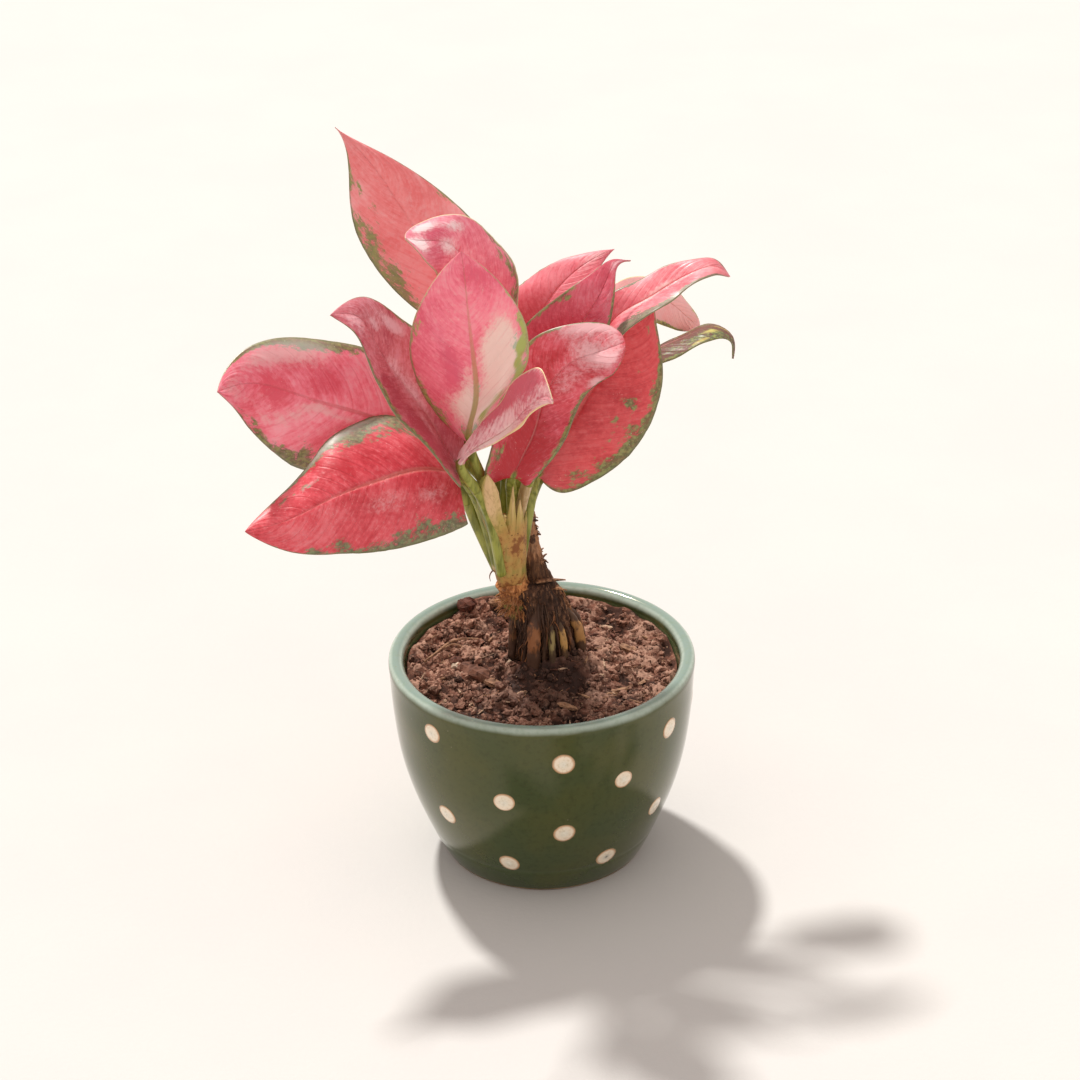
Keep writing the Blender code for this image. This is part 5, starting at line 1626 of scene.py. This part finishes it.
@dataclass(frozen=True)
class Sheath:
    """A papery strip that wraps the bundle: rows of x, y, z and half-width from its foot to
    its tip, how dry and how stained it is, and how green its left margin."""

    rows: Sequence[tuple[float, float, float, float]]
    dry: float
    stain: float
    alive: float = 0.2

    @classmethod
    def plain(cls, degrees: float, high: float, dry: float) -> "Sheath":
        """A pointed sheath at the back.

        Args:
            degrees: Which way it faces.
            high: Its tip's height.
            dry: How dry it is.

        Returns:
            The sheath.
        """
        side = facing(math.radians(degrees))
        levels = np.array([122.0, 130.0, 140.0, 150.0, high])
        reach = np.interp(levels, [122, 150], [5.4, 9.6])[:, None]
        points = np.array([-12.4, 0.0, 0.0]) + side * reach
        points[:, 0] -= (levels - 122) * 0.07
        points[:, 2] = levels
        return cls([(*p, w) for p, w in zip(points, (3.6, 4.0, 3.6, 2.2, 0.2))], dry, 0.3)

    def shell(self, number: int) -> tuple[Array, Array]:
        """The closed strip as rings.

        A point is the middle line plus w times the half-width along its side, less 0.3 w
        squared times the half-width towards the bundle, for w from -1 to 1. An inner copy
        0.5 mm closer in, and at the margins 0.2 mm, closes it.

        Args:
            number: Which noise.

        Returns:
            The rings, and w at their points.
        """
        rows = np.array(self.rows)
        at, knots = spline(rows[:, :3])
        v = np.linspace(0, 1, 60)
        w = np.linspace(-1, 1, 21)[None]
        half = np.interp(v, knots, rows[:, 3])[:, None]
        line = at(v)
        outward = unit((line - (-13.0, 1.0, 0)) * (1, 1, 0))
        side = unit(np.cross(outward, tangents(at, v)))
        wave = 0.25 * rough_noise(joined(w * 3, v[:, None] * 3), 2, number + 90)
        inward = 0.3 * half * w**2 - wave * (1 - w**2)
        edge = rough_noise(joined(v * 9, number), 2, 7)[:, None]
        reach = half * w * (1 + 0.08 * edge)
        middle = line[:, None] + side[:, None] * reach[..., None]
        depths = inward, inward + 0.5 - 0.3 * np.abs(w)
        outer, inner = (middle - outward[:, None] * depth[..., None] for depth in depths)
        both = [np.concatenate([a, b[:, ::-1]], axis=1) for a, b in ((outer, inner), (w, w))]
        return both[0], both[1]


@dataclass
class Stem:
    """The old crown with prop roots, the young stem, its sheaths and the leaves' stalks."""

    leaves: Sequence[Leaf]
    # Level rings: x, y, z, half-width along x, half-width along y.
    crown: Sequence = (
        (2, 3, 74, 15, 15), (2, 3, 78.6, 14.5, 14.5), (2, 3, 82, 12.4, 12), (2, 3, 91, 11.6, 10.8),
        (1.5, 2.6, 99, 11.6, 10.2), (0, 2, 106, 11.6, 9.4), (-2, 1.6, 112, 11.4, 8.6),
        (-3, 1.2, 117, 10.4, 7.6), (-3.6, 1, 120.4, 7, 5),
    )
    young: Sequence = (
        (-3.6, 2, 97, 5.6, 5.4), (-6, 1.2, 103, 6.2, 5.4), (-8.5, 0.5, 109, 6.6, 5.6),
        (-9.8, 0.2, 113, 6.3, 5.5), (-10.8, 0, 117.2, 6.1, 5.5), (-11, 0, 119.4, 6.7, 6),
        (-11.2, 0, 121.2, 6, 5.4), (-11.8, 0, 125, 5.9, 5.3),
    )
    core: Sequence = (
        (-11.2, 0, 121.4, 5.8, 5.2), (-12, 0, 127, 6.3, 5.9), (-13, 0, 134, 6.9, 6.9),
        (-13.6, 0, 140, 7, 7.2), (-14, 0, 145, 6, 6.2), (-14.2, 0, 149, 4, 4.2),
        (-14.3, 0, 151, 1.5, 1.5),
    )
    cane: Sequence = (
        (2.6, 3, 106, 7.2, 6.5), (0.9, 3.4, 117, 5.6, 5.6), (-1.9, 4, 125, 4.3, 4.6),
        (-3.9, 4.2, 133, 3.8, 4.1), (-5.1, 4.4, 142, 3.6, 3.7), (-5.7, 4.4, 150, 3.3, 3.4),
        (-6.1, 4.4, 155, 2, 2),
    )
    # Prop roots: turn in degrees, start, reach, radius, tone from brown to green, freshness.
    roots: Sequence = (
        (-166, 112, 14.8, 2.0, 0.14, 0.55), (-138, 104, 12.6, 1.1, 0.1, 0.3),
        (-112, 113, 14.2, 3.2, 0.26, 0.75), (-95, 106, 12.4, 1.1, 0.5, 0.35),
        (-79, 108, 13.2, 1.6, 0.92, 0.9), (-56, 108, 13.8, 1.6, 0.66, 0.95),
        (-36, 106, 13.6, 1.2, 0.3, 0.4), (-15, 108, 15.1, 2.3, 0.5, 1.2),
        (8, 108, 15.2, 1.9, 0.3, 0.6), (34, 106, 14.6, 1.8, 0.2, 0.4),
        (70, 98, 14.2, 1.9, 0.4, 0.6), (104, 100, 14.2, 1.7, 0.15, 0.4),
        (146, 98, 14.4, 1.6, 0.3, 0.6),
    )
    sheaths: Sequence = (
        Sheath((
            (-12.0, -5.0, 121.6, 4.4), (-12.6, -6.2, 125.3, 4.5), (-13.8, -8.6, 135.3, 4.4),
            (-16.3, -12.0, 147.1, 4.5), (-19.4, -16.4, 158.5, 4.9), (-20.5, -19.6, 167.1, 5.1),
            (-20.6, -21.4, 172.0, 4.6), (-20.4, -22.8, 176.6, 3.0), (-20.0, -23.8, 180.4, 0.3),
        ), 1.05, 0.9, 0.8),
        Sheath((
            (-11.4, -5.6, 122, 4.4), (-12.0, -9.2, 135.4, 3.9), (-11.7, -11.0, 145.1, 3.2),
            (-11.3, -12.0, 150.5, 2.4), (-10.8, -13.4, 158.7, 1.5), (-10.4, -14.2, 165.3, 0.8),
            (-10.2, -14.6, 170.6, 0.15),
        ), 0.95, 1.0),
        Sheath((
            (-8.6, -4.8, 122.4, 2.9), (-8.5, -8.4, 134.9, 2.6), (-7.7, -10.0, 144.5, 2.3),
            (-7.5, -11.0, 150.0, 2.0), (-7.5, -12.0, 156.1, 1.4), (-7.6, -12.4, 160.1, 0.8),
            (-7.5, -12.6, 163.6, 0.15),
        ), 1.0, 1.0),
        Sheath((
            (-6.9, -3.4, 122.3, 2.2), (-6.4, -5.6, 133.3, 1.9), (-6.0, -7.5, 146.5, 1.6),
            (-5.4, -8.6, 153.0, 0.9), (-5.1, -9.0, 157.0, 0.15),
        ), 0.8, 0.9),
        Sheath.plain(172, 156, 0.1), Sheath.plain(30, 160, 0.7), Sheath.plain(80, 158, 0.65),
        Sheath.plain(128, 156, 0.5),
    )
    # A hanging scrap of sheath: points, radii, points in a ring, rings.
    scrap: Sequence = (
        ((-15.5, -2.5, 129), (-19, -4, 128), (-20.3, -4.2, 125.6), (-20, -4.3, 123.4)),
        (0.35, 0.3, 0.12), 6, 12,
    )
    # Two flakes at the node ring: root, tip, half-width, share of orange.
    ring_flakes: Sequence = (
        ((-2.0, -2.5, 122.0), (10.0, 0.5, 121.0), 1.9, 0.15),
        ((2.0, 0.0, 117.5), (10.6, -0.8, 117.0), 1.4, 0.3),
    )
    cane_flakes: int = 34
    young_flakes: int = 26
    fibres: int = 300
    rootlets: int = 84
    fibre_tones: Sequence[float] = (0.0, 0.05, 0.12, 0.2, 0.36, 0.5)
    fibre_fresh: Sequence[float] = (0.1, 0.3, 0.8)
    rootlet_tones: Sequence[float] = (0.25, 0.36, 0.45)

    @staticmethod
    def loft(path: Sequence, sides: int, steps: int) -> tuple[Array, Array]:
        """Smooth level rings: each ring is middle plus half-widths times cos and sin turn.

        Args:
            path: Rows of x, y, z and the two half-widths.
            sides, steps: Points in a ring, and rings.

        Returns:
            The rings and the outward direction at each point.
        """
        rows = np.array(path, float)
        knots = (rows[:, 2] - rows[0, 2]) / (rows[-1, 2] - rows[0, 2])
        share = np.linspace(0, 1, steps)
        x, y, z, wide, deep = (np.interp(share, knots, column)[:, None] for column in rows.T)
        cos, sin = np.cos(around(sides)), np.sin(around(sides))
        return joined(x + wide * cos, y + deep * sin, z), joined(cos, sin, 0 * z)

    def roughened(self, path: Sequence, sides: int, steps: int, relief: float, seed: int) -> Array:
        """A loft moved out or in by lengthwise ridges and finer lumps.

        Args:
            path: Rows of x, y, z and the two half-widths.
            sides, steps: Points in a ring, and rings.
            relief: How far the ridges stand out.
            seed: Which noise.

        Returns:
            The rings.
        """
        rings, outward = self.loft(path, sides, steps)
        ridges = 1 - np.abs(rough_noise(rings * (0.34, 0.34, 0.07), 3, seed))
        lumps = rough_noise(rings * (0.5, 0.5, 0.35), 4, seed + 7, 0.65)
        return rings + outward * (relief * (1.5 * (ridges - 0.75) + 0.8 * lumps))[..., None]

    def build(self) -> Iterator[Object]:
        """Builds the pieces that stand for the stem: bark, roots, sheaths and stalks."""
        yield self.bark().build("stem_bark", BarkFinish().paint(), Slot.STEM, "stem")
        yield self.rooting().build("stem_roots", RootFinish().paint(), Slot.STEM, "stem")
        yield self.wrapping().build("stem_sheaths", SheathFinish().paint(), Slot.STEM, "stem")
        yield self.stalks().build("stem_stalks", StalkFinish().paint(), Slot.STEM, "stem")

    def bark(self) -> Sheet:
        """The crown, drawn in by a bell's share where no prop root leaves it, the young stem,
        torn and with a bell of relief at each node ring, the old cane and their flakes."""
        sheet = Sheet()
        crown = self.roughened(self.crown, 140, 130, 2.0, 51)
        angle = np.arctan2(crown[..., 1] - 3, crown[..., 0] - 2)
        near = np.zeros_like(angle)
        for degrees, _, _, radius, *_ in self.roots:
            apart = np.abs((angle - math.radians(degrees) + math.pi) % (2 * math.pi) - math.pi)
            near = np.maximum(near, bell((apart * 9, 0, radius)))
        z = crown[..., 2]
        hollow = (1 - near) * smooth(z, 106, 94) * smooth(z, 77, 82)
        # A lighter orange patch on the crown's upper right: partly orange bark, partly a painted
        # highlight.
        warm = 0.55 * bell((angle, 0, 0.5)) * smooth(z, 92, 104)
        tone = 0.12 + 0.1 * hollow + 0.25 * smooth(z, 100, 80) + warm
        shrink = 1 - 0.26 * hollow[..., None] * np.array([1.0, 1.0, 0.0])
        crown = CROWN_MIDDLE + (crown - CROWN_MIDDLE) * shrink
        sheet.add_tube(crown, tone=tone, orange=0.5 * warm, olive=0.0)

        young, outward = self.loft(self.young, 90, 90)
        z = young[..., 2]
        ring = bell((z, 119.6, 1.0)) + 0.7 * bell((z, 113.4, 0.8))
        torn = rough_noise(young * (0.8, 0.8, 0.25), 3, 61)
        young = young + outward * (0.45 * ring + 0.5 * torn)[..., None]
        tone = 0.3 + 0.4 * ring - 0.4 * smooth(z, 109, 104)
        olive = smooth(z, 114, 111) * smooth(z, 103, 109)
        sheet.add_tube(young, tone=tone, orange=smooth(z, 111.5, 114.5) * 1.1, olive=olive)

        cane = self.roughened(self.cane, 80, 120, 1.1, 71)
        upper = smooth(cane[..., 2], 124, 138)
        sheet.add_tube(cane, tone=-0.1 + 1.2 * upper, orange=0.1 + 0.2 * upper, olive=0.0)
        self.add_flakes(sheet)
        return sheet

    def add_flakes(self, sheet: Sheet) -> None:
        """Torn flakes of old sheath: short flat spikes that stand out and bend up.

        Args:
            sheet: The bark.
        """
        draw = np.random.default_rng(12).uniform
        placed = [(np.array(a), np.array(b), *rest) for a, b, *rest in self.ring_flakes]
        for _ in range(self.cane_flakes):
            z = draw(112, 150)
            middle = np.array([np.interp(z, [108, 125, 150], [2.4, -2.0, -6.0]), 4.0, z])
            outward = facing(draw(-1.3, 1.1))
            reach = np.interp(z, [108, 125, 150], [6.8, 4.4, 3.5])
            end = middle + outward * (reach + 2.2 * draw() ** 3)
            end = end + (0, 0, draw(-3.2, 2.4))
            placed.append((middle + outward * (reach - 1.8), end, draw(0.8, 3.0), 0.1))
        for _ in range(self.young_flakes):
            turn = draw(-math.pi, 0.3)
            outward = np.array([math.cos(turn), 0.9 * math.sin(turn), draw(-0.7, 0.1)])
            middle = np.array([-9.0, 0.4, draw(113, 120)])
            end = middle + outward * draw(7.6, 10.4)
            placed.append((middle + outward * 4.8, end, draw(0.3, 0.75), 0.9))
        for root, tip, wide, orange in placed:
            at, _ = spline([root, 0.5 * (root + tip) + (0, 0, 0.35), tip])
            share = np.linspace(0, 1, 6)
            tangent = tangents(at, share)
            first = unit(np.cross(tangent, np.array([0.1, 0.2, 1.0])))
            second = np.cross(tangent, first) * 0.35
            radius = wide * (1 - 0.62 * share**2) * (1 + draw(-0.15, 0.15, 6))
            rings = rings_about(at(share), first, second, radius, 6)
            sheet.add_tube(rings, tone=draw(0.2, 0.9), orange=orange, olive=0.0)

    def rooting(self) -> Sheet:
        """Prop roots that bend out of the crown into the soil, swollen by noise, loose fibres
        that hang about it, curling rootlets at the node ring, and one hanging scrap."""
        sheet = Sheet()
        for degrees, start, reach, radius, tone, fresh in self.roots:
            outward = facing(math.radians(degrees))
            heights = (start, start - 7, 0.5 * (start + 76), 82, 74)
            reaches = (6.5, reach - 2.6, reach - 0.6, reach, reach - 0.4)
            path = [CROWN_MIDDLE + outward * r + (0, 0, z) for r, z in zip(reaches, heights)]
            rings = tube(path, 0.82 * radius * np.array((1.0, 1.05, 0.95, 0.8)), 16, 44)
            middle = rings.mean(axis=1, keepdims=True)
            swell = 1 + 0.42 * rough_noise(rings * (0.8, 0.8, 0.4), 4, int(degrees) + 200, 0.6)
            rings = middle + (rings - middle) * swell[..., None]
            patchy = 1 + 0.5 * rough_noise(rings * (0.5, 0.5, 0.25), 2, int(degrees) + 300)
            freshness = fresh * patchy * smooth(rings[..., 2], start - 2, start - 9)
            # Below 98 mm each root loses its freshness value and darkens: partly soil on it, partly
            # painted shade where it meets the soil.
            sheet.add_tube(rings, tone=tone, fresh=freshness * smooth(rings[..., 2], 89, 98))

        random = np.random.default_rng(23)
        draw = random.uniform
        for _ in range(self.fibres):
            turn = draw(0, 2 * math.pi)
            z = draw(82, 117)
            outward, aside = facing(turn), np.array([-math.sin(turn), math.cos(turn), 0])
            reach = np.interp(z, [84, 116], [12.6, 10.4])
            drop = min(draw(3, 16), z - 79)
            sway = draw(-3.5, 3.5)
            start = CROWN_MIDDLE + outward * (reach - 1.5) + (0, 0, z)
            middle = outward * (reach + draw(0.1, 1.4)) + (0, 0, z - 0.4 * drop)
            end = outward * (reach + draw(-0.3, 1.6)) + (0, 0, z - drop)
            middle, end = CROWN_MIDDLE + middle, CROWN_MIDDLE + end
            path = [start, middle + aside * 0.5 * sway, end + aside * sway]
            if z > 104:
                path = [point + (-2.4, -1.0, 0.0) for point in path]
            radius = draw(0.12, 0.3)
            tone, fresh = random.choice(self.fibre_tones), random.choice(self.fibre_fresh)
            sheet.add_wire(path, (radius, radius, 0.08), 5, 8, tone=tone, fresh=fresh)

        for _ in range(self.rootlets):
            outward = facing(math.radians(draw(150, 290)))
            root = np.array([-9.4, 0.4, draw(108, 119)]) + outward * 5.0
            out = draw(1.5, 6.0)
            bend = draw(-2.5, 2.5, 3)
            tip = root + outward * out + (0, 0, draw(-3.5, 0.8))
            radius = draw(0.14, 0.42)
            path = [root, 0.5 * (root + tip) + bend * 0.35, tip]
            tone = random.choice(self.rootlet_tones)
            sheet.add_wire(path, (radius, radius, 0.1), 5, 8, tone=tone, fresh=1)
        sheet.add_wire(*self.scrap, tone=0.1, fresh=0.9)
        return sheet

    def wrapping(self) -> Sheet:
        """The bundle's core and the sheaths round it, greener above, stained in the middle."""
        sheet = Sheet()
        core, outward = self.loft(self.core, 60, 60)
        core = core + outward * (0.25 * rough_noise(core * (0.6, 0.6, 0.1), 2, 81))[..., None]
        sheet.add_tube(core, dry=0.65, stain=0.3)
        for number, piece in enumerate(self.sheaths):
            rings, turn = piece.shell(number)
            high = rings[..., 2]
            alive = piece.alive * smooth(turn, -0.1, 0.6) + 0.45 * smooth(high, 166, 150)
            dry = piece.dry - alive - 0.2 * smooth(turn, -0.3, -0.8)
            rusty = rough_noise(rings * (0.3, 0.3, 0.22), 3, 17)
            torn = 0.9 * smooth(high + 4 * rusty, 127, 122)
            stain = bell((high, 140, 12)) * (0.92 + 0.9 * rusty)
            sheet.add_tube(rings, dry=dry, stain=stain * piece.stain + torn)
        return sheet

    def stalks(self) -> Sheet:
        """The lower part of each leaf's stalk, which ends just inside the leaf's own part."""
        sheet = Sheet()
        for leaf in self.leaves:
            _, foot, base = leaf.path()
            shares = np.linspace(0, foot + 0.03 * (base - foot), 26)
            rings, _ = leaf.rings(shares, np.linspace(-1, 1, 13), 0.97)
            dry = smooth(rings[..., 2], leaf.dry_level + 4, leaf.dry_level - 5)
            sheet.add_tube(rings, dry=dry)
        return sheet


@dataclass
class Studio:
    """A plain pale floor, soft warm light from behind on the left, and the camera."""

    target: Point = (0.0, 0.0, 139.4)
    elevation: float = 27.4
    roll: float = -0.8
    distance: float = 1200.0
    focal_length: float = 100.4
    sensor_width: float = 36.0
    sun: Point = (0.257, -0.475, -0.841)
    sun_strength: float = 2.6
    sun_width: float = 5.0
    sun_colour: Colour = (1.0, 0.965, 0.91)
    sky: Colour = (1.0, 0.905, 0.84)
    sky_strength: float = 0.6
    exposure: float = 0.58
    floor_reach: float = 8000.0
    floor_level: float = -0.08

    def build(self) -> Iterator[Object]:
        """Sets up a square floor of 16 m under the pot, the light, the camera and the view."""
        corners = np.array([(-1, -1, 0), (1, -1, 0), (1, 1, 0), (-1, 1, 0)]) * self.floor_reach
        sheet = Sheet()
        sheet.add(corners + (0, 0, self.floor_level), [[[0, 1, 2, 3]]])
        yield sheet.build("floor", FloorFinish().paint(), is_smooth=False)
        self.build_light()
        self.build_camera()
        bpy.context.scene.view_settings.view_transform = "Standard"
        bpy.context.scene.view_settings.exposure = self.exposure

    def build_light(self) -> None:
        """A wide sun and an even pale sky."""
        light = bpy.data.lights.new("key", "SUN")
        light.energy = self.sun_strength
        light.angle = math.radians(self.sun_width)
        light.color = self.sun_colour
        key = bpy.data.objects.new("key", light)
        key.rotation_euler = Vector(self.sun).to_track_quat("-Z", "Y").to_euler()
        bpy.context.scene.collection.objects.link(key)
        world = bpy.data.worlds.new("studio")
        world.use_nodes = True
        background = world.node_tree.nodes["Background"]
        background.inputs["Color"].default_value = (*self.sky, 1.0)
        background.inputs["Strength"].default_value = self.sky_strength
        bpy.context.scene.world = world

    def build_camera(self) -> None:
        """The camera looks along +y and down at the target, rolled a little."""
        rise = math.radians(self.elevation)
        forward = np.array([0, math.cos(rise), -math.sin(rise)])
        level = np.array([1.0, 0, 0])
        above = np.cross(level, forward)
        tip = math.radians(self.roll)
        right = math.cos(tip) * level + math.sin(tip) * above
        up = -math.sin(tip) * level + math.cos(tip) * above
        eye = np.array(self.target) - forward * self.distance
        data = bpy.data.cameras.new("camera")
        data.lens = self.focal_length
        data.sensor_width = self.sensor_width
        data.clip_end = 100.0
        camera = bpy.data.objects.new("camera", data)
        columns = np.column_stack([right, up, -forward, eye * MM])
        camera.matrix_world = Matrix([*columns.tolist(), (0, 0, 0, 1)])
        bpy.context.scene.collection.objects.link(camera)
        bpy.context.scene.camera = camera


def main() -> None:
    """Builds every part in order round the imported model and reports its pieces."""
    logging.basicConfig(level=logging.INFO, format="%(message)s")
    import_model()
    for part in (Pot(), Soil(), Stem(LEAVES), *LEAVES, Studio()):
        for piece in part.build():
            triangles = sum(len(face.vertices) - 2 for face in piece.data.polygons)
            LOG.info("%s: %d triangles", piece.name, triangles)


if __name__ == "__main__":
    main()
